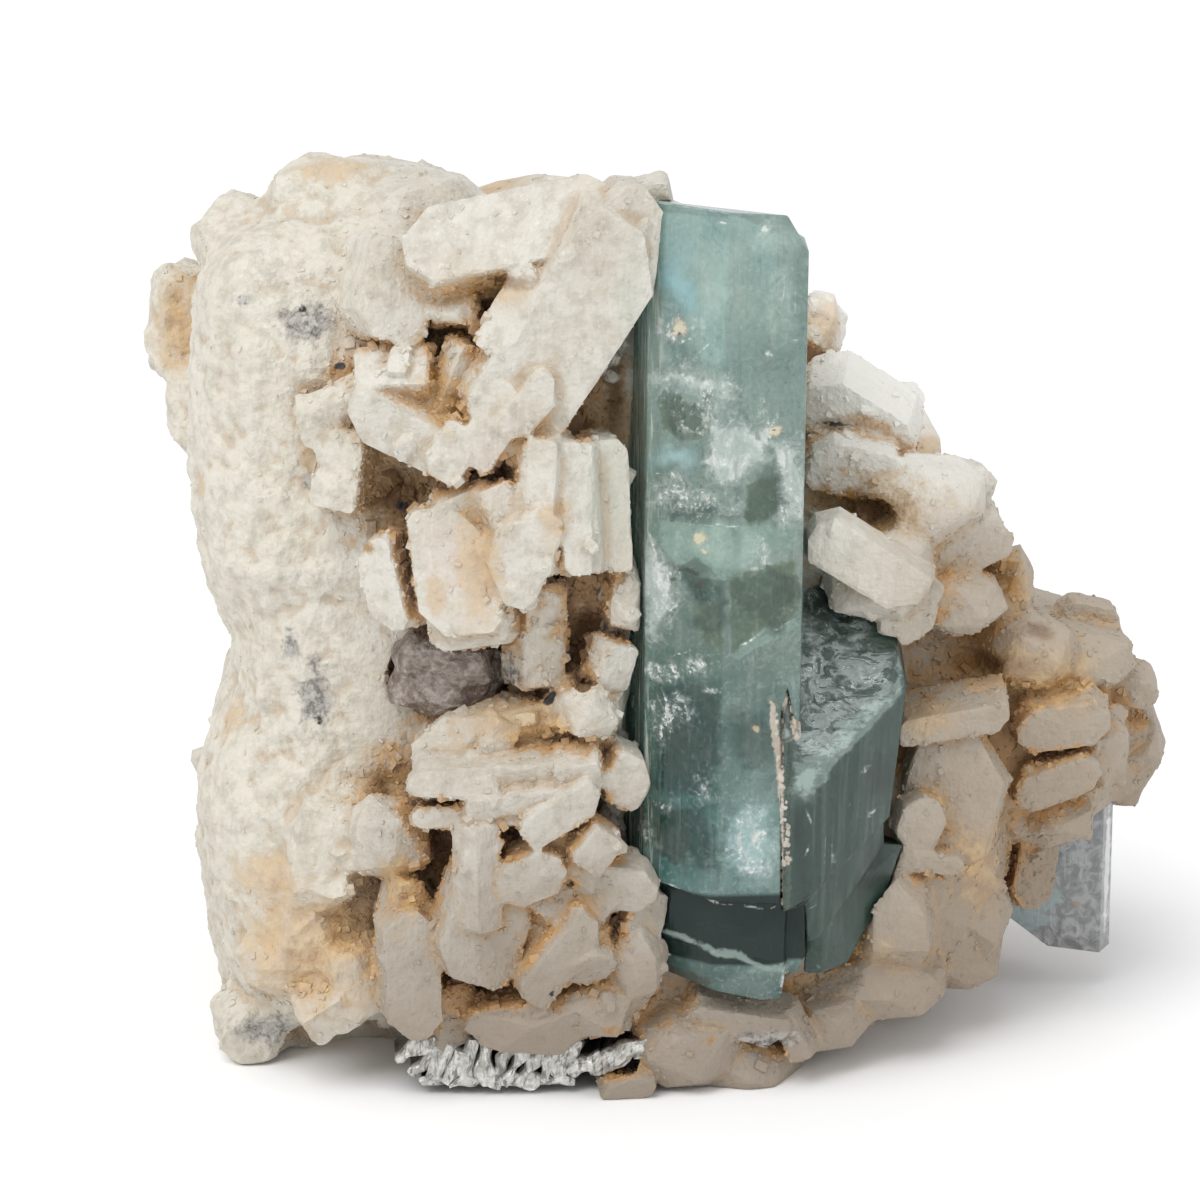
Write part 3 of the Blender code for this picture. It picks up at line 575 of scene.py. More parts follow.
# Brown marks: stain, and painted shade in the cave under the shelf, the darkest hollow and the gap beside the tall
# crystal.
BROWN_STAIN_AND_SHADE_MARKS = [
    (-15, 27, 3, 2), (-20.5, 10.6, 3.6, 3.6), (-19.8, 9.6, 2, 2.2), (-1.3, -3.7, 2.4, 5.2), (28, 9.5, 7, 3),
    (27.5, 9, 2.4, 2.4), (23.5, 17.5, 3, 0.8), (-22, -19, 1.8, 2.6), (39.5, -6.2, 6, 1.6), (1.5, 20, 1.4, 4.5),
    (-9, 31.8, 4, 1), (44, -3, 2, 1.2), (-25, 18, 1.4, 1),
]
RUST_MARKS = [
    (-26, 23, 1.9, 1.7), (-18.9, -17, 0.8, 0.9), (-23.2, 5.3, 0.8, 0.9), (24.8, 10.4, 1.6, 1.6), (1.2, -43, 2, 0.9),
    (11, -44, 1.2, 0.7), (26.4, -31.2, 0.9, 0.8), (-3.8, 7.4, 0.7, 1), (41, 1.6, 1.6, 2.2), (36, -6.3, 2.6, 1),
    (-12, 31, 1.2, 0.8), (-16.5, 22.4, 1, 1), (33, -9.6, 1.6, 0.8),
]
GREY_MARKS = [
    (-29.5, 27.8, 3.2, 2.4), (-29, 12, 1, 1.2), (-28.5, -9.5, 2.2, 4.4), (-31, -4, 1.2, 2), (-36, 30, 1, 0.8),
    (17, -44, 5, 1.6), (-9, -8, 3, 3), (-33, -43, 4, 2),
]
# Black marks: dark mica flakes, and painted shade in the deepest pockets.
BLACK_MICA_AND_SHADE_MARKS = [
    (-11.3, -7.7, 1.8, 2.3), (-5, -9.7, 1, 0.9), (-26, 23.4, 0.6, 0.5), (-4.8, -39.4, 0.4, 0.4), (23.5, 17.6, 2.4, 0.25),
    (-19.8, 9.4, 0.8, 0.7), (-29.8, 29, 0.6, 0.4), (-28.2, -12, 0.7, 0.6),
]
# Green marks: painted shade, grey-green, on the rock beside the tall crystal.
GREEN_SHADE_MARKS = [(1.2, 11, 3.4, 8), (0.5, -14, 2, 4), (3, 30, 2, 6)]
PINK_MARKS = [(-16.5, -7.5, 5.4, 4.6), (-15, 4, 3, 5), (5, -38, 6, 4), (-10, 12, 3, 5)]


def spread_of_marks(places, marks):
    """1 in the middle of a mark, falling to 0 at its edge and below 0 beyond it."""
    reached = np.full(len(places), -1.0)
    for across, up, half_across, half_up in marks:
        ray = (seen(across, up, 40) - EYE).normalized()
        hit = rock_skin.ray_cast(EYE, ray)[0]
        if not hit:
            print("a mark misses the rock:", across, up)
            continue
        away = (places - np.array(hit)) / MM
        depth = max(half_across, half_up)
        far = np.sqrt((away / np.array((half_across, depth, half_up))) ** 2 @ np.ones(3))
        reached = np.maximum(reached, 1 - far)
    return reached


rock_skin = BVHTree.FromPolygons(
    [Vector(row) for row in rows], [tuple(p.vertices) for p in rock_mesh.polygons]
)
all_marks = {
    "tan": TAN_STAIN_AND_SHADE_MARKS, "brown": BROWN_STAIN_AND_SHADE_MARKS, "rust": RUST_MARKS, "grey": GREY_MARKS,
    "black": BLACK_MICA_AND_SHADE_MARKS, "green": GREEN_SHADE_MARKS, "pink": PINK_MARKS,
}
for name, marks in all_marks.items():
    keep_numbers(rock_mesh, name, spread_of_marks(rows, marks))
print("placed", sum(len(marks) for marks in all_marks.values()), "marks")

# %% [markdown]
# ## The rock's finish
# Albite here is a mass of sugary grains: white, a little see-through, with a satin glint on each grain.
# The base is white and cream in clouds. Over it go the stains, each with its edge broken up by noise,
# and painted light and shade: the foot is painted darker, the lower right arm darker and browner as
# stain and painted shade together, and the top right lighter. Then come the grains, as cells whose
# borders are slightly lower.

# %% Albite
albite = Finish("sugary albite")
cloud = albite.noise(9, 2)
mottle = albite.noise(1.7, 3, 0.6)
speck = albite.noise(0.45, 1, 0.6)
hollow = albite.attribute("hollow")
dent_here = albite.attribute("dent")
left_block = albite.step(albite.split(albite.mm)[0] + (cloud - 0.5) * 10, -24, -30)


def broken_edge(mark, low, high, amount=1.1):
    """A stored mark with its edge made ragged by the mottle and the specks."""
    spread = albite.attribute(mark) + (mottle - 0.5) * amount + (speck - 0.5) * amount * 0.5
    return albite.step(spread, low, high)


tone = albite.blend(albite.step(cloud, 0.35, 0.65), (0.56, 0.515, 0.43), (0.63, 0.60, 0.53))
tone = albite.blend(left_block * 0.75, tone, (0.66, 0.62, 0.525))
tone = albite.blend(albite.step(mottle, 0.42, 0.68) * 0.5, tone, (0.40, 0.36, 0.285))
tone = albite.blend(albite.step(speck, 0.6, 0.75) * 0.4, tone, (0.70, 0.69, 0.65))
tone = albite.blend(broken_edge("pink", 0, 0.9) * 0.4, tone, (0.60, 0.50, 0.45))
# Painted shade: grey-green on the rock beside the tall crystal.
tone = albite.blend(broken_edge("green", -0.1, 0.8) * 0.5, tone, (0.48, 0.50, 0.42))
# Painted shade: the rock is painted darker towards its foot.
foot = albite.step(albite.split(albite.mm)[2] + (cloud - 0.5) * 14, 46, 4) * (1 - left_block * 0.8)
tone = albite.blend(foot * 0.9, tone, (0.285, 0.23, 0.175))
low_down = albite.step(albite.split(albite.mm)[2], 66, 48)
# The lower right arm is darker and browner: stain together with painted shade.
right_arm_stain_and_shade = albite.step(albite.split(albite.mm)[0] + (cloud - 0.5) * 12, 14, 32) * low_down
tone = albite.blend(right_arm_stain_and_shade * 0.7, tone, (0.32, 0.25, 0.18))
# Painted light: the top right is painted lighter.
right_top_painted_light = albite.step(albite.split(albite.mm)[0], 12, 18) * (1 - low_down)
tone = albite.blend(right_top_painted_light * 0.8, tone, (0.80, 0.79, 0.74))
strands = albite.noise(0.5, 2, 0.65, stretch=(1, 1, 7))
tone = albite.blend(albite.step(strands, 0.45, 0.75) * (1 - foot) * (1 - right_arm_stain_and_shade) * 0.2, tone, (0.76, 0.74, 0.70))
dust = albite.step(hollow + (mottle - 0.5) * 0.7 + (speck - 0.5) * 0.3, 0.17, 0.52) * (1 - left_block * 0.5)
dust_tone = albite.blend(albite.step(hollow, 0.4, 0.8), (0.53, 0.30, 0.11), (0.17, 0.075, 0.020))
tone = albite.blend(dust * 0.85, tone, dust_tone)
creases = albite.step(dent_here + (speck - 0.5) * 0.12, 0.02, 0.16)
tone = albite.blend(creases * 0.40, tone, (0.44, 0.30, 0.165))
# Tan and brown marks: stain, with painted shade under the shelf and in the hollows.
tan_stain_and_shade_share = broken_edge("tan", -0.1, 0.7) * (hollow * 0.9 + 0.5).smaller(0.95)
tan_tone = albite.blend(albite.step(mottle, 0.35, 0.65), (0.40, 0.225, 0.08), (0.62, 0.43, 0.22))
tone = albite.blend(tan_stain_and_shade_share, tone, tan_tone)
brown_stain_and_shade_share = broken_edge("brown", 0.0, 0.8) * (hollow * 0.8 + 0.55)
tone = albite.blend(brown_stain_and_shade_share.smaller(0.95), tone, (0.15, 0.078, 0.030))
rust_share = broken_edge("rust", 0.1, 1.0, 2.6)
tone = albite.blend(rust_share * 0.85, tone, albite.blend(speck, (0.16, 0.06, 0.012), (0.55, 0.29, 0.07)))
flakes = albite.noise(0.8, 3, 0.7)
flake_tone = albite.blend(albite.step(flakes, 0.38, 0.6), (0.09, 0.085, 0.08), (0.42, 0.405, 0.385))
grey_share = broken_edge("grey", 0.0, 0.7, 1.8)
tone = albite.blend(grey_share * 0.8, tone, flake_tone)
# Black: dark mica, and painted shade in the deepest pockets.
tone = albite.blend(broken_edge("black", 0.0, 0.4), tone, (0.03, 0.026, 0.026))

grains = albite.cells(0.62)
fine_grains = albite.cells(0.3)
relief = grains * -0.4 + fine_grains * -0.25 + speck * 0.5 + strands * 0.4
skin = albite.bump(relief, 0.16, 0.9)
gloss = 0.62 - albite.step(speck, 0.5, 0.8) * 0.22 - grey_share * 0.2
albite_surface = albite.shader(
    tone, gloss, Normal=skin, Specular_IOR_Level=0.5,
)
rock_mesh.materials.clear()
rock_mesh.materials.append(albite.finish(albite_surface))
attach(rock_object, "root")
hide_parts("albite_matrix")
print("albite has", len(albite.tree.nodes), "nodes")

# %% [markdown]
# ## Sugar grains
# Seen close, the albite is a crust of little sharp blocks under a millimetre long. Modelled relief of
# that size is out of the rock mesh's reach, so the grains are thousands of twelve-sided boxes, set on
# the skin with seeded chance and joined into a few meshes. They lie nearly flat on the broad blades
# and stand up more in the crumbly places, and they carry the rock's stains and painted shade with them.

# %% Scatter the grains
GRAINS_IN_A_PIECE = 15500
STAINS_AND_PAINTED_SHADE = list(all_marks) + ["hollow", "dent"]
grain_dice = np.random.default_rng(5)


def box_mesh(name):
    """A small box with a slightly narrower top, 12 triangles."""
    bm = bmesh.new()
    bmesh.ops.create_cube(bm, size=1)
    bmesh.ops.scale(bm, verts=[v for v in bm.verts if v.co.z > 0], vec=(0.86, 0.8, 1))
    bmesh.ops.triangulate(bm, faces=bm.faces)
    return as_mesh(name, bm)


def triangle_table(mesh):
    """For each triangle its three points, its area and its outward direction."""
    mesh.calc_loop_triangles()
    index = np.zeros(len(mesh.loop_triangles) * 3, np.int32)
    mesh.loop_triangles.foreach_get("vertices", index)
    index = index.reshape(-1, 3)
    a, b, c = (points_of(mesh)[index[:, i]] for i in range(3))
    across = np.cross(b - a, c - a)
    double_area = np.linalg.norm(across, axis=1)
    return index, double_area / 2, across / double_area[:, None].clip(1e-12)


def number_of(mesh, name):
    values = np.zeros(len(mesh.vertices), np.float32)
    mesh.attributes[name].data.foreach_get("value", values)
    return values


corner_index, areas, face_ways = triangle_table(rock_mesh)
rock_points = points_of(rock_mesh)
face_middles = rock_points[corner_index].mean(1)
toward_eye = np.clip(0.75 - face_middles[:, 1] / (40 * MM), 0.12, 1)
near_floor = face_middles[:, 2] < 0.6 * MM
on_left_block = (face_middles[:, 0] < -30 * MM) & (face_middles[:, 2] > 14 * MM)
in_socket = np.array([gap_to_crystals(Vector(p)) < 0.55 * MM for p in face_middles])
chance = np.nan_to_num(areas * toward_eye * ~near_floor * ~in_socket * np.where(on_left_block, 0.35, 1))
face_shade = np.nan_to_num(number_of(rock_mesh, "hollow"))[corner_index].mean(1).clip(0.02, 1)


def turned(ways, spin, lean):
    """A 3 by 3 frame for each way: its third axis leans a little from the way."""
    ways = ways + lean
    ways /= np.linalg.norm(ways, axis=1)[:, None]
    helper = np.where(np.abs(ways[:, 2:]) < 0.9, (0.0, 0.0, 1.0), (1.0, 0.0, 0.0))
    side = np.cross(helper, ways)
    side /= np.linalg.norm(side, axis=1)[:, None]
    other = np.cross(ways, side)
    first = side * np.cos(spin)[:, None] + other * np.sin(spin)[:, None]
    return np.stack([first, np.cross(ways, first), ways], 2)


def scatter_grains(name, count, smallest, largest, shelter):
    """One mesh of boxes on the rock's skin. Sizes are in mm, and shelter draws them to the hollows."""
    wanted = chance * face_shade**shelter
    chosen = grain_dice.choice(len(areas), count, p=wanted / wanted.sum())
    mix = np.sort(grain_dice.random((count, 2)), 1)
    share = np.stack([mix[:, 0], mix[:, 1] - mix[:, 0], 1 - mix[:, 1]], 1)
    places = (rock_points[corner_index[chosen]] * share[:, :, None]).sum(1)
    shut = (number_of(rock_mesh, "hollow")[corner_index[chosen]] * share).sum(1)
    length = MM * (smallest + (largest - smallest) * grain_dice.random(count) ** 2.2)
    sizes = length[:, None] * np.stack(
        [np.ones(count), grain_dice.uniform(0.5, 0.9, count), grain_dice.uniform(0.35, 0.8, count)], 1
    )
    lean = grain_dice.normal(0, 1, (count, 3)) * (0.12 + 0.5 * shut.clip(0, 1))[:, None]
    frames = turned(face_ways[chosen], grain_dice.uniform(0, math.pi, count), lean)
    centres = places - face_ways[chosen] * sizes[:, 2:] * grain_dice.uniform(0.0, 0.3, (count, 1))
    template = box_mesh("grain")
    corners = points_of(template)
    placed = np.einsum("nij,nkj->nki", frames, corners[None] * sizes[:, None, :]) + centres[:, None]
    placed[..., 2] = placed[..., 2].clip(0.02 * MM, None)
    bm = bmesh.new()
    for turn in range(count):
        bm.from_mesh(template)
    mesh = as_mesh(name, bm)
    set_points(mesh, placed.reshape(-1, 3))
    # Each grain takes the rock's stains and painted shade at its place.
    for carried_mark in STAINS_AND_PAINTED_SHADE:
        at_places = (number_of(rock_mesh, carried_mark)[corner_index[chosen]] * share).sum(1)
        keep_numbers(mesh, carried_mark, np.repeat(at_places, len(corners)))
    keep_numbers(mesh, "shade of its own", np.repeat(grain_dice.random(count), len(corners)))
    mesh.materials.append(albite.material)
    grains = as_object(name, mesh)
    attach(grains, "root")
    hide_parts("albite_matrix")
    print(name, "has", len(mesh.polygons), "triangles")
    return grains


scatter_grains("albite_grains_coarse", 5200, 0.5, 1.4, 2.0)
scatter_grains("albite_grains_fine_a", GRAINS_IN_A_PIECE, 0.22, 0.6, 0.6)
scatter_grains("albite_grains_fine_b", GRAINS_IN_A_PIECE, 0.3, 0.75, 1.2)

# %% [markdown]
# ## Crusts at the crystals' edges
# Where a crystal stands in the rock, a crust of feldspar has grown along the joint, and a thin beige
# seam fills the crack between the tall and the short crystal. Both are chains of small dented balls
# along a line that is given on the picture plane.

# %% Chains of lumps
def lump_chain(target, start, end, depth, count, smallest, largest, stray):
    """Small dented balls from start to end, which are (across, up). Sizes and depth are in mm."""
    for turn in range(count):
        share = (turn + dice.random()) / count
        across = start[0] + (end[0] - start[0]) * share + dice.gauss(0, stray)
        up = start[1] + (end[1] - start[1]) * share
        radius = dice.uniform(smallest, largest)
        ball = bmesh.new()
        bmesh.ops.create_icosphere(ball, subdivisions=2, radius=1)
        for vert in ball.verts:
            vert.co *= 1 + 0.35 * noise.noise(vert.co * 1.3 + Vector((turn, share, 3)))
        stretch = (dice.uniform(0.7, 1), dice.uniform(0.7, 1), dice.uniform(0.8, 1.5))
        bmesh.ops.scale(ball, verts=ball.verts, vec=Vector(stretch) * radius * MM)
        spin = Matrix.Rotation(dice.uniform(-0.6, 0.6), 3, "Y")
        bmesh.ops.rotate(ball, verts=ball.verts, cent=(0, 0, 0), matrix=spin)
        bmesh.ops.translate(ball, verts=ball.verts, vec=seen(across, up, depth + dice.gauss(0, stray)))
        target.from_mesh(as_mesh("lump", ball))


crust = bmesh.new()
lump_chain(crust, (17.2, -9.8), (18.0, -18), -28.4, 80, 0.2, 0.4, 0.14)
lump_chain(crust, (18.3, -9.8), (19.7, -13.8), -27.9, 60, 0.25, 0.5, 0.2)
lump_chain(crust, (18.3, -12), (18.6, -30.5), -28.1, 150, 0.2, 0.38, 0.12)
lump_chain(crust, (18.1, -17), (18.7, -26.5), -28.5, 90, 0.2, 0.42, 0.12)
lump_chain(crust, (1.4, 6), (1.0, -26), -21.5, 46, 0.8, 1.5, 0.4)
lump_chain(crust, (2.6, 33), (1.4, 22), -20.5, 12, 0.7, 1.2, 0.4)
crust_object = as_object("albite_crust", as_mesh("albite_crust", crust))
crust_object.data.materials.append(albite.material)
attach(crust_object, "root")
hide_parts("albite_matrix")
print("crust has", len(crust_object.data.polygons), "triangles")

# %% [markdown]
# ## Aquamarine
# Beryl grows as six-sided prisms with fine lines along them. These crystals are clear in places and
# milky in others, where healed cracks hold films of fluid. So the finish mixes two shaders: clear
# beryl, which bends light by its real index of 1.577 and takes out red over distance with an
# absorption volume, and a frosted one for the cracks. The marks are placed one by one as soft
# ellipses, given where they are seen on the front: across, up, half length, half width and turn. Some
# of them are painted light and shade: highlights along edges, a blue-white glow near the foot, a
# lighter right face, a shaded strip beside the centre edge and the shade in the recessed band.

# %% Crystal pieces and the marks on them
BERYL_INDEX = 1.577
GRID = 1.6


def crystal_piece(name, node, rim, back, wedges=()):
    """A copy of a solid with worn edges and a fine grid in front of y = back. All in mm."""
    bm = merged_copy(node)
    for front, behind, corners in wedges:
        rows = [bm.verts.new(seen(*corner, depth)) for depth in (front, behind) for corner in corners]
        bmesh.ops.convex_hull(bm, input=rows)
    sharp = [e for e in bm.edges if e.calc_face_angle(0) > math.radians(14)]
    bmesh.ops.bevel(
        bm, geom=sharp, offset=rim * MM, offset_type="OFFSET", affect="EDGES", segments=2,
        profile=0.5, material=-1,
    )
    low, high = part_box(node)
    for axis, way in ((0, Vector((1, 0, 0))), (2, Vector((0, 0, 1)))):
        for place in np.arange(low[axis] + GRID * MM, high[axis], GRID * MM):
            everything = bm.verts[:] + bm.edges[:] + bm.faces[:]
            bmesh.ops.bisect_plane(bm, geom=everything, plane_co=way * place, plane_no=way, dist=1e-7)
    front = [f for f in bm.faces if f.calc_center_median().y < back * MM and f.normal.y < 0.5]
    long_edges = {e for f in front for e in f.edges if e.calc_length() > 0.45 * MM}
    bmesh.ops.subdivide_edges(bm, edges=list(long_edges), cuts=6, use_grid_fill=True)
    bmesh.ops.triangulate(bm, faces=bm.faces)
    mesh = as_mesh(name, bm)
    mesh.materials.clear()
    obj = as_object(name, mesh)
    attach(obj, "root")
    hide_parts(node)
    print(name, "has", len(mesh.polygons), "triangles")
    return obj


def stir_of(obj):
    """For each point a small seeded shift in mm, which turns ellipses into ragged clouds."""
    shifts = []
    for row in points_of(obj.data) / MM:
        point = Vector(row)
        shifts.append(
            noise.noise_vector(point / 3.4) * 1.9 + noise.noise_vector(point / 1.2) * 0.8
            + noise.noise_vector(point / 0.5) * 0.3
        )
    return np.array(shifts)[:, (0, 2)]


def mark_front(obj, name, marks, front, stir=0):
    """Keeps how deep each point lies in a list of turned ellipses: 1 in a middle, 0 at an edge."""
    places = points_of(obj.data)[:, (0, 2)] / MM + stir
    reached = np.full(len(places), -2.0)
    for across, up, half_length, half_width, *turn in marks:
        centre = seen(across, up, front) / MM
        scale = (EYE_DISTANCE + front * MM * math.cos(EYE_ANGLE)) / EYE_DISTANCE
        angle = math.radians(turn[0]) if turn else 0
        away = places - (centre.x, centre.z)
        along = away @ (math.cos(angle), math.sin(angle)) / (half_length * scale)
        beside = away @ (-math.sin(angle), math.cos(angle)) / (half_width * scale)
        reached = np.maximum(reached, 1 - np.hypot(along, beside))
    keep_numbers(obj.data, name, reached)


def depth_inside(places, corners):
    """The distance of each point from a polygon's outline: above 0 inside, below 0 outside."""
    inside = np.zeros(len(places), bool)
    nearest = np.full(len(places), np.inf)
    for start, end in zip(corners, np.roll(corners, -1, axis=0)):
        along = end - start
        share = ((places - start) @ along / (along @ along)).clip(0, 1)
        nearest = np.minimum(nearest, np.linalg.norm(places - start - share[:, None] * along, axis=1))
        crosses = (start[1] > places[:, 1]) != (end[1] > places[:, 1])
        rise = along[1] if along[1] else 1e-9
        inside ^= crosses & (places[:, 0] < start[0] + along[0] * (places[:, 1] - start[1]) / rise)
    return np.where(inside, nearest, -nearest)


def mark_regions(obj, name, regions, front, stir=0):
    """Keeps how many mm each point lies inside any of a list of polygons seen on the front."""
    places = points_of(obj.data)[:, (0, 2)] / MM + stir
    depth = np.full(len(places), -3.0)
    for region in regions:
        corners = np.array([(seen(*corner, front).x, seen(*corner, front).z) for corner in region]) / MM
        depth = np.maximum(depth, depth_inside(places, corners))
    keep_numbers(obj.data, name, depth)


# %% The marks of the tall crystal
PALE_REGIONS = [
    [(5.7, 7.7), (19.7, 7.8), (20, 5.5), (17.5, 5.1), (14.5, 3.8), (12.5, 2.2), (10, 2.3), (7.5, 3.7), (5.7, 5.5)],
    [(12.8, -5.2), (16, -2.8), (19.8, -1.5), (19.8, -2.6), (16.5, -4.2), (13.5, -5.8)],
]
WHITE_REGIONS = [
    [(4.1, 5.5), (5.5, 5.2), (6.8, 3.5), (7.2, 1), (8, -0.5), (7.2, -2.5), (5.5, -4), (4.2, -3.2), (4, 1)],
    [(17.2, 16.5), (20.8, 15.5), (21, 7.3), (18.2, 8), (17, 12.2)],
    [(10, 14), (11, 18.5), (14, 19), (17, 16.5), (17.2, 13.5), (14.5, 12), (11.5, 12.2)],
    [(5, 22), (8, 23.3), (12, 22.5), (14, 20), (12, 17.5), (11, 19.5), (8, 20.8), (5.5, 20)],
]
DEEP_REGIONS = [
    [(6.8, 3.7), (10, 2), (12.2, 1.8), (12.2, 0), (9, 0), (7.5, 1.5)],
    [(6.2, 9.8), (11, 9.6), (13, 8.2), (7, 8.0)],
    [(4.8, -9), (12.2, -9), (12.0, -19), (4.8, -19)],
    [(4, -20), (11.5, -20), (11.2, -27), (4.3, -26)],
]
OLIVE_REGIONS = [
    [(12.8, 2.0), (14.5, 3.4), (19.8, 4.8), (19.8, -1.5), (16, -2.8), (12.8, -5.2)],
    [(14.5, 12.2), (17.8, 12.2), (17.5, 7.9), (14.2, 7.9)],
    [(5.5, 19.5), (8, 20.5), (11, 19), (11.5, 17), (9.5, 16), (6, 16.5)],
    [(9, 0), (12.2, 0), (12.2, -5), (10, -4)],
]
# Painted light: the prism's right face is painted lighter than its left.
LIT_RIGHT_FACE = [[(13.1, 42), (23, 42), (23, -31), (11.2, -31), (12.1, -10), (12.6, 20)]]
FOOT_EDGE = [[(5.2, -33.4), (9.8, -34.3), (13, -35), (16, -36.1), (18.4, -36.3), (18.4, -37), (16, -36.8), (13, -35.6), (9.8, -34.9), (5.2, -34)]]
TALL_SEAM = [[(16.9, -9.5), (17.6, -10), (18.3, -17), (19.2, -20), (19.2, -26), (18.4, -26.2), (17.8, -20), (17.1, -14)]]
TALL_VEILS = [
    (9.5, 20, 4.9, 3.2, -15), (13.6, 15.6, 4.0, 3.6, 20), (9.5, 9.8, 4.8, 2.4), (6, 0, 2.3, 4.2), (8, -7, 4.2, 2.2),
    (7.2, -12, 2.8, 1.5, 60), (7.9, 27.1, 2.2, 2.1), (19.2, 11.5, 2.4, 5.0), (17.5, 17.5, 2.4, 3), (6, -21, 1.6, 1.2),
    (15, -24, 3.0, 4.0), (5, -24.3, 1.2, 1.5), (11, -19, 1.5, 1.2), (15.5, 5, 1.6, 1.4), (14.6, -26.3, 1.2, 0.8),
]
TALL_HAZE = [
    (18, 30.2, 3.0, 5.5), (12, 33, 4, 5), (6.5, 13.8, 4, 2.2), (12.5, 5.4, 7.4, 2.6), (15.5, -24, 4.4, 6),
    (16, -35, 8, 3), (17, 36, 4, 3), (5, 24, 2, 8),
]
TALL_WINDOWS = [
    (8.2, 18.2, 2.9, 2.2), (16.2, 10, 2.2, 2.8), (10.8, -1.5, 2.2, 2.8), (16.2, 0.6, 3.8, 4.2), (8.5, -15, 3.4, 4.2),
    (15.5, -14, 3.0, 5.4), (17.9, 13, 0.8, 2.6), (7, -24, 2.6, 4.5), (11, -11, 2, 2.4), (9, 2.4, 2, 1.2),
]
# Strokes: pale cracks and lines, and painted highlights on the narrow left face, along the rim above the band and at a
# few edges.
TALL_STROKES_AND_HIGHLIGHTS = [
    (6.1, 12.2, 3.0, 0.13), (13.2, 7.6, 6.4, 0.15), (8.5, 25.8, 1.3, 0.2, 30), (10.5, 25, 1.4, 0.17, 40),
    (9.6, 24.2, 1.1, 0.16, 35), (11.4, 25.8, 0.9, 0.14, 45), (7.4, -1, 1.3, 0.34, 45), (14.5, -4, 1.9, 0.26, 33),
    (18, -2.3, 2.2, 0.22, 22), (11.1, -8.9, 1.5, 0.5, 5), (12.5, -24.5, 0.5, 0.4), (14.6, -26.3, 0.9, 0.35, 20),
    (7.05, -28.7, 3.1, 0.24, -19), (11.6, -29.8, 2.0, 0.24, -9), (15.4, -30.4, 2.1, 0.22, -9), (17.9, -30.6, 1.1, 0.2),
    (12, 37.8, 1.0, 0.16), (10.5, 38.5, 0.7, 0.13), (13.5, 36.6, 0.6, 0.13), (13.95, 27.6, 0.8, 0.14, 90),
    (19.5, 26, 1.2, 0.1), (16.8, 24.8, 0.9, 0.35), (16.5, 37.3, 1.3, 0.85, 60), (3.5, -8.7, 1.3, 0.2, 90),
    (3.5, -6, 0.9, 0.16, 90), (3.6, -11.8, 1.6, 0.2, 90), (3.6, 7.2, 3.4, 0.35, 87), (17.2, -32.2, 1.5, 0.1, 90),
    (5.7, -31.2, 1.8, 0.13, 75), (18.5, -38, 2.1, 0.5, 85), (6.8, -12.4, 1.6, 0.22, -50), (7.9, -10.8, 1.1, 0.2, -35),
    (5.3, 5.0, 0.2, 2.2, 20), (8.2, -5.2, 1.6, 0.16, 25), (16.2, 19.8, 1.8, 0.14, 70), (18.2, 31, 3.2, 0.18, 80),
    (19.4, 29, 2.6, 0.16, 84), (12.2, 14.2, 1.6, 0.2, -30), (13.6, -0.8, 2.6, 0.13, 88), (9.7, -19, 1.2, 0.2, -20),
]
TALL_CREAM = [(9.9, 6.2, 1.5, 0.8, 10), (10.5, 4.9, 0.7, 0.4), (15.6, -12.4, 0.5, 0.7), (17.8, 17.2, 1.0, 0.9), (7.9, 27.2, 1.1, 1.3)]
TALL_SPECKS = [
    (8.1, 26.6, 0.32, 0.32), (7.6, 8.6, 0.4, 0.14, 20), (8.6, 8.4, 0.3, 0.12), (9.4, 8.7, 0.35, 0.1, -20),
    (8.1, 9.4, 0.2, 0.14), (8.6, 2.6, 1.3, 0.25, -10), (9.6, 1.7, 0.9, 0.2, 20), (17.7, 17.4, 0.3, 0.25),
    (8.9, -38.2, 2.6, 0.8), (7.2, 1.6, 0.5, 0.3), (18.7, -1.7, 0.9, 0.1, 20), (17.6, -3.4, 0.8, 0.08, 10),
]

# %% The tall crystal's mesh
# Blue marks: bluish colour near the top, and a painted blue-white glow near the foot.
TALL_BLUE_AND_GLOW = [(7, 32, 3.2, 5), (6.5, 13.6, 3.8, 2), (15, -24, 3.8, 5)]
TALL_FRONT = -28
TALL_WEDGES = [
    (-26.8, -20, [(17.5, -8.2), (19.9, -8.2), (20.3, -13), (20.2, -20.5), (17.9, -20.5), (17.3, -12)]),
    (-26.6, -19, [(18.3, -29.6), (20.5, -29.2), (20.5, -35.6), (19.6, -37.2), (18.2, -37.4)]),
]
tall = crystal_piece("aquamarine_tall_crystal", "aquamarine_tall", 0.14, -16, TALL_WEDGES)
# The centre marks are painted shade: a darker strip just right of the centre edge.
tall_marks = {
    "veil": TALL_VEILS, "haze": TALL_HAZE, "window": TALL_WINDOWS, "stroke": TALL_STROKES_AND_HIGHLIGHTS,
    "cream": TALL_CREAM, "fleck": TALL_SPECKS, "blue": TALL_BLUE_AND_GLOW,
    "centre": [(13.6, 6, 34, 0.6, 89.5), (12.2, -24, 8, 0.5, 82)],
}
tall_stir = stir_of(tall)
tall_regions = {
    "pale": (PALE_REGIONS, 0.15), "white": (WHITE_REGIONS, 0.6), "deep": (DEEP_REGIONS, 0.6), "olive": (OLIVE_REGIONS, 0.25),
    "right face": (LIT_RIGHT_FACE, 0.04), "foot edge": (FOOT_EDGE, 0.25), "seam": (TALL_SEAM, 0.12),
}
for name, (regions, share) in tall_regions.items():
    mark_regions(tall, name, regions, TALL_FRONT, tall_stir * share)
STIR_SHARE = {"stroke": 0.22, "cream": 0.3, "fleck": 0.35, "centre": 0.1}
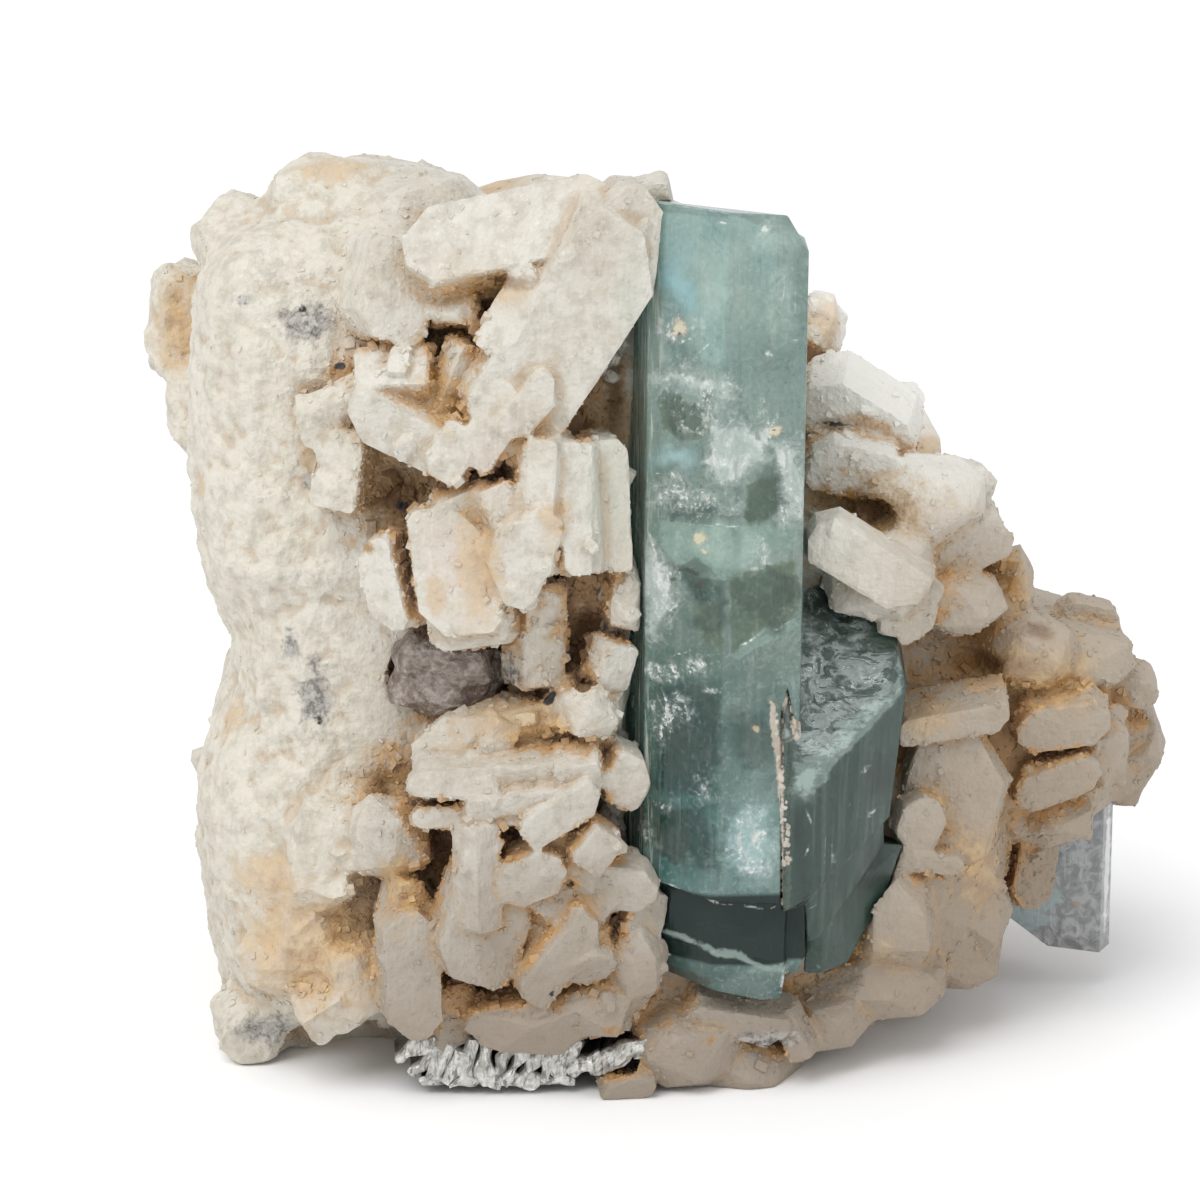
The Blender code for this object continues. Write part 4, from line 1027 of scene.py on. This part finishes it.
for name, marks in tall_marks.items():
    mark_front(tall, name, marks, TALL_FRONT, tall_stir * STIR_SHARE.get(name, 1))

# %% The tall crystal's finish
beryl = Finish("aquamarine")
height = beryl.split(beryl.mm)[2]
body = beryl.node(
    "ShaderNodeValToRGB",
    {"stops": [
        (0.10, (0.10, 0.155, 0.14)), (0.235, (0.065, 0.21, 0.195)), (0.32, (0.07, 0.20, 0.18)), (0.42, (0.035, 0.125, 0.105)),
        (0.50, (0.20, 0.29, 0.24)), (0.62, (0.29, 0.385, 0.325)), (0.78, (0.25, 0.37, 0.33)), (0.93, (0.29, 0.41, 0.37)),
    ]},
    {"Fac": height / 90},
    "Color",
)
wisps = beryl.noise(1.3, 4, 0.65, warp=1.6)
fine_wisps = beryl.noise(0.4, 3, 0.6)
threads = beryl.noise(0.7, 3, 0.6, stretch=(1, 1, 14))
curls = beryl.noise(2.6, 3, 0.5, warp=1.2)
smears = beryl.noise(1.9, 5, 0.65, warp=1.1, stretch=(1, 1, 1.7))
clouds = beryl.noise(6, 2, 0.6)
streaks = smears.line(0.07) * beryl.step(wisps, 0.42, 0.58)
cracks = curls.line(0.025).larger(streaks * 0.9) * beryl.step(fine_wisps, 0.32, 0.6)
veil_area = beryl.step(beryl.attribute("veil") + (wisps - 0.5) * 0.9, -0.15, 0.6)
patches = beryl.step(smears + (fine_wisps - 0.5) * 0.4, 0.47, 0.62)
veils = veil_area * (patches * (0.35 + wisps * 0.6) + cracks * 0.55 + 0.12)
haze = beryl.step(beryl.attribute("haze") + (curls - 0.5) * 1.0, -0.1, 1.0)
windows = beryl.step(beryl.attribute("window") + (curls - 0.5) * 1.1, 0.0, 0.5)
strokes_and_highlights = beryl.step(beryl.attribute("stroke") + (fine_wisps - 0.5) * 1.6, 0.1, 0.9)
cream = beryl.step(beryl.attribute("cream") + (fine_wisps - 0.5) * 0.9, 0.0, 0.6)
flecks = beryl.step(beryl.attribute("fleck") + (fine_wisps - 0.5) * 1.2, 0.0, 0.4)
blue = beryl.step(beryl.attribute("blue"), 0, 1)
sharp_threads = beryl.step(threads, 0.52, 0.68)
edge_side = beryl.step(beryl.split(beryl.mm)[0], 0.4, -0.6)
# Painted shade: the recessed band is painted near black.
painted_shade_band = beryl.step(height, 21.4, 20.9) * beryl.step(height, 13.7, 14.2)

tint = beryl.blend(beryl.step(clouds, 0.42, 0.66) * 0.35, body, (0.40, 0.50, 0.45))
tint = beryl.blend(beryl.step(clouds, 0.5, 0.3) * 0.35, tint, (0.08, 0.15, 0.13))
# Painted light: the right face is made lighter.
lit_right_face = beryl.step(beryl.attribute("right face"), -0.1, 0.15)
tint = beryl.blend(lit_right_face * 0.30, tint, (0.34, 0.43, 0.39))
deep = beryl.step(beryl.attribute("deep") + (curls - 0.5) * 2.0, -0.8, 1.0)
tint = beryl.blend(deep * 0.9, tint, (0.014, 0.060, 0.050))
olive = beryl.step(beryl.attribute("olive") + (curls - 0.5) * 0.8, -0.1, 0.35)
tint = beryl.blend(olive * 0.85, tint, (0.145, 0.205, 0.125))
pale_wedge = beryl.step(beryl.attribute("pale") + (fine_wisps - 0.5) * 0.5, -0.08, 0.12)
tint = beryl.blend(pale_wedge * 0.85, tint, (0.31, 0.45, 0.38))
grit = beryl.step(fine_wisps + (wisps - 0.5) * 0.6, 0.54, 0.74)
tint = beryl.blend(grit * 0.22, tint, (0.58, 0.66, 0.61))
tint = beryl.blend(beryl.step(fine_wisps + (wisps - 0.5) * 0.6, 0.46, 0.28) * 0.18, tint, (0.03, 0.085, 0.072))
# Blue: colour, and the painted glow near the foot.
tint = beryl.blend(blue * 0.8, tint, (0.33, 0.60, 0.66))
# Painted shade: a darker strip right of the centre edge.
centre = beryl.step(beryl.attribute("centre"), 0, 0.8)
tint = beryl.blend(centre * 0.35, tint, (0.07, 0.14, 0.12))
tint = beryl.blend(windows * 0.35, tint, (0.075, 0.14, 0.11))
tint = beryl.blend(haze * 0.45, tint, (0.42, 0.53, 0.47))
tint = beryl.blend(edge_side * 0.55, tint, (0.13, 0.20, 0.16))
tint = beryl.blend(sharp_threads * (edge_side * 0.8 + 0.10), tint, (0.74, 0.75, 0.66))
# Painted shade in the recessed band, near black.
tint = beryl.blend(painted_shade_band * 0.95, tint, (0.006, 0.014, 0.012))
white_area = beryl.step(beryl.attribute("white") + (wisps - 0.5) * 2.4 + (fine_wisps - 0.5), -0.5, 1.1)
veils = (veils.larger(white_area * (0.35 + smears * 0.8)) * (1 - painted_shade_band)).smaller(0.94)
tint = beryl.blend(veils, tint, beryl.blend(patches, (0.60, 0.67, 0.63), (0.72, 0.74, 0.70)))
foot_edge = beryl.step(beryl.attribute("foot edge") + (fine_wisps - 0.5) * 0.5, -0.15, 0.2)
tint = beryl.blend(foot_edge * 0.5, tint, (0.45, 0.55, 0.50))
seam = beryl.step(beryl.attribute("seam") + (fine_wisps - 0.5) * 0.5, -0.05, 0.12)
tint = beryl.blend(seam * 0.85, tint, (0.52, 0.44, 0.36))
tint = beryl.blend(cracks * (1 - painted_shade_band) * 0.12, tint, (0.66, 0.72, 0.68))
tint = beryl.blend(cream * 0.65, tint, beryl.blend(wisps, (0.62, 0.42, 0.22), (0.74, 0.68, 0.52)))
# Pale cracks and painted highlights.
tint = beryl.blend(strokes_and_highlights * 0.6, tint, (0.78, 0.82, 0.78))
tint = beryl.blend(flecks * 0.85, tint, (0.06, 0.06, 0.045))

milkiness = (0.55 + haze * 0.2 + (wisps - 0.5) * 0.3).larger(veils * 0.95).larger(strokes_and_highlights * 0.95).larger(cream).larger(seam * 0.95).larger(edge_side * 0.7)
milkiness = (milkiness.larger(flecks).larger(painted_shade_band * 0.9) - windows * (1 - veils) * 0.2).smaller(0.96).larger(0.05)
wear = beryl.step(fine_wisps, 0.62, 0.72) * (1 - painted_shade_band)
lines = beryl.noise(0.9, 4, 0.6, stretch=(1, 1, 40)) * 0.8 + beryl.noise(4, 2) * 0.6 + fine_wisps * 0.08
face_relief = beryl.bump(lines, 0.12, 0.7)
clear_beryl = beryl.shader(
    (0.90, 0.97, 0.96), 0.06 + wear * 0.2, IOR=BERYL_INDEX, Transmission_Weight=1.0, Normal=face_relief,
)
frosted_beryl = beryl.shader(
    tint, 0.16 + wear * 0.25, IOR=BERYL_INDEX, Specular_IOR_Level=0.2, Normal=face_relief,
)
absorption = beryl.node(
    "ShaderNodeVolumeAbsorption", None, {"Color": (0.05, 0.52, 0.47), "Density": 65.0}
)
tall.data.materials.append(
    beryl.finish(beryl.mix_shaders(milkiness, clear_beryl, frosted_beryl), absorption)
)
print("aquamarine has", len(beryl.tree.nodes), "nodes")

# %% [markdown]
# ## The short crystal
# Its top is a broken surface, wavy like broken glass and bright with small glints, and its sides are
# dark with lines along them. The finish is the same idea with other marks, and the break's waves are
# relief in the finish because they are finer than the mesh. On the break, light and dark bands follow
# the waves as painted light and shade, the crests carry painted glints and the troughs painted shade.

# %% The short crystal
SHORT_BANDS = [
    [(18.5, -14.5), (20, -18.7), (21.8, -17.5), (23.5, -15.5), (27, -13), (30.5, -10), (30.5, -8), (27, -11.5),
     (23.5, -13.5), (20.5, -15)],
    [(20, -14.5), (22.5, -15), (23, -17), (20, -19), (19, -16.5)],
]
SHORT_SHADE = [
    [(20, 2.8), (23.5, 0.6), (30.5, 0), (30, -3.4), (24, -3.2), (20, -4.2)],
    [(25.4, -28), (28.8, -24.5), (30.2, -26), (29.5, -30), (25.4, -30.2)],
    [(19, -19.8), (20.2, -19.2), (20.6, -30), (19.4, -30)],
]
TOP_GLITTER = [(22, -4, 7, 6.5), (21.5, -12.5, 4, 3.4), (25, -8, 5, 5)]
SHORT_PALE = [
    (25.5, -12, 7.5, 1.5, 38), (21, -16.8, 2.4, 2.6, -15), (19.5, -17, 1.4, 2.2), (30, -7, 0.9, 3.4, -10), (21.5, -13.8, 3.6, 1.2, -20),
    (24.3, -0.9, 3.4, 0.6, -4),
]
SHORT_LINES = [
    (20.6, -20.4, 2.6, 0.25, -68), (20.3, -23.8, 1.4, 0.22, 70), (21, -29.6, 1.8, 0.14, 30), (24, -26.7, 2.6, 0.14, 42),
    (27.2, -23.5, 2.3, 0.14, 46), (23.5, -31.8, 3.0, 0.16, 52), (27.1, -26.8, 3.0, 0.14, 56), (24.6, -20.3, 0.4, 0.25),
    (27.2, -21.3, 0.8, 0.5, 30), (26.6, -16.8, 0.9, 0.5, 20), (28.7, -18.9, 0.3, 0.3), (21.7, -36.4, 0.6, 0.5),
    (21.5, -5.8, 1.8, 0.3, 30), (20.4, 1.2, 2.2, 0.14, 50), (21.8, 0.2, 1.8, 0.13, 40), (22.4, -2.2, 2, 0.12, 20),
    (23, 2, 1.8, 0.1, 25), (22.9, -25, 4.2, 0.1, 88), (23.6, -25.5, 3.8, 0.1, 88), (22.2, -24, 3.4, 0.1, 88),
]
SHORT_DARK = [(27.8, -26.5, 2.4, 3.2, 45), (21, 3, 3.4, 1.6, 30), (28, -18, 2.4, 3.6), (19.6, -32, 0.8, 4)]
SHORT_FRONT = -24
short = crystal_piece("aquamarine_short_crystal", "aquamarine_short", 0.12, -12)
short_marks = {"glitter": TOP_GLITTER, "pale": SHORT_PALE, "stroke": SHORT_LINES, "dark": SHORT_DARK}
short_stir = stir_of(short)
for name, marks in short_marks.items():
    mark_front(short, name, marks, SHORT_FRONT, short_stir * (0.2 if name == "stroke" else 0.6))

mark_regions(short, "band", SHORT_BANDS, SHORT_FRONT, short_stir * 0.15)
mark_regions(short, "shade", SHORT_SHADE, SHORT_FRONT, short_stir * 0.25)

# %% Waves on the break
def wave_break(obj):
    """Pushes the broken top into fine waves, in proportion to the glitter mark."""
    rows = points_of(obj.data)
    amount = np.clip(number_of(obj.data, "glitter") * 2.5, 0, 1)
    push = np.zeros(len(rows))
    for index in np.nonzero(amount)[0]:
        point = Vector(rows[index]) / MM
        bend = noise.noise_vector(point / 4) * 1.1
        push[index] = abs(noise.noise(Vector((point.x / 4.0, point.y / 2.4, point.z / 1.2)) + bend)) - 0.25
    rows += normals_of(obj.data) * (push * amount * 0.55 * MM)[:, None]
    set_points(obj.data, rows)


wave_break(short)

# %% The short crystal's finish
broken = Finish("broken aquamarine")
waves = broken.noise(1.0, 4, 0.7, warp=0.8, stretch=(2.8, 1.6, 1))
ripples = broken.noise(0.4, 4, 0.6, warp=0.4, stretch=(2.2, 1.4, 1))
glitter_area = broken.step(broken.attribute("glitter"), 0.0, 0.35)
gusts = broken.noise(3.5, 3, 0.5, warp=1)
glint = broken.step(gusts, 0.42, 0.6)
# Painted highlights: glints along the wave crests of the break.
painted_glint_crests = (waves.line(0.03) + ripples.line(0.03) * 0.45).smaller(1) * glitter_area * (0.25 + glint * 0.75)
# Painted shade in the wave troughs.
painted_shade_troughs = broken.step(waves + (gusts - 0.5), 0.52, 0.36) * glitter_area
band = broken.step(broken.attribute("band") + (ripples - 0.5) * 0.6, -0.1, 0.3)
shaded = broken.step(broken.attribute("shade") + (ripples - 0.5) * 1.2, -0.4, 0.8)
pale = broken.step(broken.attribute("pale") + (ripples - 0.5) * 1.1, 0.1, 0.7)
fine_lines = broken.step(broken.attribute("stroke") + (ripples - 0.5) * 1.8, 0.2, 1.0)
dark = broken.step(broken.attribute("dark") + (waves - 0.5), 0.1, 0.8)
grooves = broken.noise(0.6, 4, 0.6, stretch=(1, 1, 25))
side_share = 1 - glitter_area

# On the break, light and dark bands follow the waves as painted light and shade.
shade_of = broken.blend(glitter_area, (0.040, 0.082, 0.062), broken.blend(broken.step(waves, 0.36, 0.64), (0.05, 0.09, 0.078), (0.50, 0.58, 0.55)))
shade_of = broken.blend(broken.step(grooves, 0.45, 0.7) * side_share * 0.5, shade_of, (0.16, 0.23, 0.20))
shade_of = broken.blend(dark * 0.7, shade_of, (0.015, 0.03, 0.024))
shade_of = broken.blend(painted_shade_troughs * 0.6, shade_of, (0.07, 0.105, 0.09))
shade_of = broken.blend(shaded * 0.75, shade_of, (0.022, 0.042, 0.034))
shade_of = broken.blend(band * 0.7, shade_of, (0.36, 0.46, 0.42))
shade_of = broken.blend(painted_glint_crests * 0.8, shade_of, (0.60, 0.67, 0.64))
shade_of = broken.blend(pale * 0.35, shade_of, (0.45, 0.55, 0.51))
shade_of = broken.blend(fine_lines * 0.6, shade_of, (0.70, 0.74, 0.71))
milk = (0.55 + (ripples - 0.5) * 0.5).larger(painted_glint_crests * 0.9).larger(pale * 0.85).larger(fine_lines * 0.9).smaller(0.96)
relief_up = broken.bump((waves * 0.6 + ripples * 0.35) * glitter_area + grooves * side_share * 0.12, 0.5, 0.9)
clear_part = broken.shader(
    (0.88, 0.95, 0.93), 0.14, IOR=BERYL_INDEX, Transmission_Weight=1.0, Normal=relief_up,
)
frosted_part = broken.shader(
    shade_of, 0.17 + ripples * 0.15, IOR=BERYL_INDEX, Specular_IOR_Level=0.4, Normal=relief_up,
)
broken_absorption = broken.node(
    "ShaderNodeVolumeAbsorption", None, {"Color": (0.12, 0.42, 0.36), "Density": 85.0}
)
short.data.materials.append(
    broken.finish(broken.mix_shaders(milk, clear_part, frosted_part), broken_absorption)
)
print("broken aquamarine has", len(broken.tree.nodes), "nodes")

# %% [markdown]
# ## The side crystal
# Only a plate of it shows under the right arm. Its flat face has the room's reflection painted on in
# greys, with a band of painted shade across its top under the arm, a painted highlight down its edge
# and a little blue-green at its broken foot.

# %% The side crystal
SIDE_FRONT = 1
side = crystal_piece("aquamarine_side_crystal", "aquamarine_side", 0.12, 6)
mark_front(side, "dark", [(48, -21.5, 3.8, 1.6, 25), (46, -25.5, 0.8, 0.5)], SIDE_FRONT)
mark_front(side, "blue", [(42, -32, 4.5, 2.2), (44.5, -30, 3, 1.6, 30)], SIDE_FRONT)
mark_front(side, "cream", [(45, -28.5, 1.2, 0.8), (47.5, -30.5, 0.8, 0.6)], SIDE_FRONT)
mark_front(side, "edge", [(50.9, -27.2, 9.5, 0.5, 90)], SIDE_FRONT)
mirror = Finish("aquamarine with painted reflections")
blotches = mirror.noise(1.6, 5, 0.65, warp=1)
streaks = mirror.noise(0.5, 3, 0.6, stretch=(1, 1, 12))
# Painted reflection: grey blotches stand for the room mirrored in the flat face.
grey = mirror.blend(mirror.step(blotches, 0.38, 0.62), (0.14, 0.142, 0.142), (0.36, 0.36, 0.36))
# The dark band is painted shade under the arm and the edge strip a painted highlight; blue and cream are colour.
for name, tone_there, share in (
    ("dark", (0.035, 0.035, 0.04), 0.9), ("blue", (0.27, 0.37, 0.37), 0.85),
    ("cream", (0.30, 0.20, 0.11), 0.6), ("edge", (0.82, 0.83, 0.84), 0.9),
):
    grey = mirror.blend(mirror.step(mirror.attribute(name) + (blotches - 0.5), 0.1, 0.6) * share, grey, tone_there)
# Light streaks: more painted reflection.
grey = mirror.blend(mirror.step(streaks, 0.55, 0.7) * 0.25, grey, (0.66, 0.67, 0.68))
face = mirror.bump(blotches + streaks * 0.2, 0.16, 0.6)
mirror_clear = mirror.shader((0.9, 0.95, 0.95), 0.08, IOR=BERYL_INDEX, Transmission_Weight=1.0, Normal=face)
mirror_frost = mirror.shader(grey, 0.12, IOR=BERYL_INDEX, Coat_Weight=0.6, Coat_Roughness=0.05, Normal=face)
mirror_absorption = mirror.node("ShaderNodeVolumeAbsorption", None, {"Color": (0.4, 0.6, 0.6), "Density": 60.0})
mirror_milk = (0.72 + (blotches - 0.5) * 0.4).smaller(0.96)
side.data.materials.append(mirror.finish(mirror.mix_shaders(mirror_milk, mirror_clear, mirror_frost), mirror_absorption))

# %% [markdown]
# ## The mica book
# Muscovite splits into thin silvery sheets. Here the book is bent and frayed: its sheets fan out as
# wrinkled ridges with black gaps between them. Each sheet starts as a finely cut box, is tapered,
# rounded at its front, curved and wrinkled with noise, so that the light finds real edges.

# %% The mica sheets
mica_low, mica_high = (Vector(corner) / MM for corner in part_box("muscovite_book"))
print("mica fills", [round(v, 1) for v in mica_low], "to", [round(v, 1) for v in mica_high], "mm")
mica_dice = random.Random(3)
MICA_RIBS = [
    (-19.6, -45.6, 4.6, 2.0, 58), (-18.4, -46.8, 4.4, 1.9, 48), (-16.9, -47.0, 4.2, 2.2, 36), (-15.6, -47.6, 3.8, 2.0, 24),
    (-14.0, -47.0, 4.8, 2.0, 8), (-12.2, -47.0, 5.0, 2.2, 8), (-10.5, -47.2, 5.4, 1.7, 24), (-9.1, -47.4, 4.8, 1.3, 30),
    (-7.2, -47.0, 5.6, 2.0, 33), (-5.2, -46.8, 5.0, 1.0, 33), (-3.8, -46.6, 4.6, 1.7, 40), (-2.0, -47.2, 3.8, 2.0, 62),
    (0.2, -46.9, 3.8, 2.3, 70), (2.4, -46.3, 3.8, 2.1, 64), (4.4, -45.4, 3.2, 1.8, 58),
    (-13.5, -48.9, 5.0, 1.3, 80), (-9.5, -49.0, 5.4, 1.2, 90), (-5.6, -48.8, 5.0, 1.2, 97), (-16.8, -48.4, 4.4, 1.4, 66),
]


def rough_slab(target, middle, size, lean, crumple):
    """Adds a slab with a rounded front. middle in metres, size in mm, lean in degrees to the right."""
    bm = bmesh.new()
    bmesh.ops.create_cube(bm, size=1)
    bmesh.ops.subdivide_edges(bm, edges=bm.edges, cuts=9, use_grid_fill=True)
    offset = Vector((mica_dice.uniform(0, 50), mica_dice.uniform(0, 50), 0))
    for vert in bm.verts:
        taper = 1 - 0.25 * (2 * vert.co.z) ** 6
        rounding = (2 * vert.co.x) ** 2 * min(size[0], 2.4) * 0.3 * (0.5 - vert.co.y)
        spot = Vector((vert.co.x * size[0], vert.co.y * size[1], vert.co.z * size[2]))
        wrinkle = noise.fractal(Vector((spot.x / 0.6, spot.y / 3, spot.z / 1.6)) + offset, 0.8, 2.0, 3) * crumple
        bend = noise.noise(Vector((spot.x / 1.2, spot.y / 4, spot.z / 1.8)) + offset) * crumple * 2.4
        vert.co = Vector((spot.x * taper + bend, spot.y + rounding + wrinkle, spot.z))
    bmesh.ops.rotate(bm, verts=bm.verts, cent=(0, 0, 0), matrix=Matrix.Rotation(math.radians(lean), 3, "Y"))
    bmesh.ops.scale(bm, verts=bm.verts, vec=(MM, MM, MM))
    bmesh.ops.translate(bm, verts=bm.verts, vec=middle)
    target.from_mesh(as_mesh("slab", bm))


book = bmesh.new()
for across, up, length, width, lean in MICA_RIBS:
    depth = mica_low.y + 2.6 + mica_dice.uniform(-0.3, 0.5)
    rough_slab(book, seen(across, up, depth - 2), (width * 0.78, 4.4, length), lean, 0.34)
for index in range(8):
    middle = Vector((mica_low.x + 13, mica_low.y + 10.5, 0.9 + index * 0.72)) * MM
    size = (24 + mica_dice.uniform(-3, 1), 12.5, 0.5)
    rough_slab(book, middle, size, mica_dice.uniform(-1.5, 1.5), 0.3)


def fit_in(bm, low, high):
    """Scales a bmesh in metres to fill the box from low to high in mm."""
    rows = np.array([v.co for v in bm.verts])
    had = rows.max(0) - rows.min(0)
    wanted = (np.array(high) - np.array(low)) * MM
    bmesh.ops.translate(bm, verts=bm.verts, vec=Vector(-rows.min(0)))
    bmesh.ops.scale(bm, verts=bm.verts, vec=Vector(wanted / had))
    bmesh.ops.translate(bm, verts=bm.verts, vec=Vector(low) * MM)
    print("mica scaled by", np.round(wanted / had, 3))


fit_in(book, mica_low, mica_high)
mica_book = as_object("muscovite_sheets", as_mesh("muscovite_sheets", book))
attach(mica_book, "root")
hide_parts("muscovite_book")

mica = Finish("silvery mica")
lustre = mica.noise(1.2, 4, 0.6, warp=0.8)
scratches = mica.noise(0.45, 4, 0.65, warp=0.5, stretch=(1, 1, 4))
silver = mica.blend(mica.step(lustre, 0.3, 0.7), (0.40, 0.39, 0.36), (0.78, 0.77, 0.73))
silver = mica.blend(mica.step(scratches, 0.50, 0.62) * 0.8, silver, (0.13, 0.125, 0.115))
# Painted shade: further back the book is painted near black, as the shade in the gaps between its sheets.
silver = mica.blend(mica.step(mica.split(mica.mm)[1] + (scratches - 0.5) * 2, -25.6, -24.4), silver, (0.035, 0.032, 0.028))
mica_surface = mica.shader(
    silver, 0.22 + lustre * 0.2, Metallic=0.25, Coat_Weight=0.3, Coat_Roughness=0.1,
    Normal=mica.bump(lustre + scratches * 0.3, 0.12, 0.8),
)
mica_book.data.materials.append(mica.finish(mica_surface))
print("mica book has", len(mica_book.data.polygons), "faces")

# %% [markdown]
# ## Smoky quartz
# A rounded grain of quartz sits in the hollow, grey-purple and half clear, with cracks inside that show
# as pale clouds. The solid is a plain ball, so a finer copy is made and dented with noise.

# %% The quartz grain
quartz_bm = merged_copy("smoky_quartz")
bmesh.ops.subdivide_edges(quartz_bm, edges=quartz_bm.edges, cuts=3, use_grid_fill=True, smooth=0.3)
for vert in quartz_bm.verts:
    point = vert.co / MM
    dents = noise.fractal(point / 2.4, 0.9, 2.0, 3) * 0.7 + noise.noise(point / 5) * 1.6 - 0.2
    vert.co += vert.normal * dents * MM
quartz_grain = as_object("smoky_quartz_grain", as_mesh("smoky_quartz_grain", quartz_bm))
quartz_grain.data.materials.clear()
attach(quartz_grain, "root")
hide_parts("smoky_quartz")

quartz = Finish("smoky quartz")
smoke = quartz.noise(3.2, 5, 0.65)
sparkle = quartz.noise(0.8, 4, 0.6)
smoke_tone = quartz.blend(quartz.step(smoke, 0.35, 0.65), (0.26, 0.185, 0.145), (0.58, 0.50, 0.44))
smoke_tone = quartz.blend(quartz.step(sparkle, 0.58, 0.72) * 0.5, smoke_tone, (0.68, 0.62, 0.59))
quartz_relief = quartz.bump(sparkle + smoke * 0.5, 0.5, 0.9)
clear_quartz = quartz.shader((0.9, 0.86, 0.84), 0.12, IOR=1.544, Transmission_Weight=1.0, Normal=quartz_relief)
cloudy_quartz = quartz.shader(smoke_tone, 0.25, IOR=1.544, Normal=quartz_relief)
quartz_absorption = quartz.node("ShaderNodeVolumeAbsorption", None, {"Color": (0.45, 0.35, 0.33), "Density": 220.0})
quartz_grain.data.materials.append(
    quartz.finish(quartz.mix_shaders((0.6 + (sparkle - 0.5)).smaller(0.95), clear_quartz, cloudy_quartz), quartz_absorption)
)
print("quartz grain has", len(quartz_grain.data.polygons), "faces")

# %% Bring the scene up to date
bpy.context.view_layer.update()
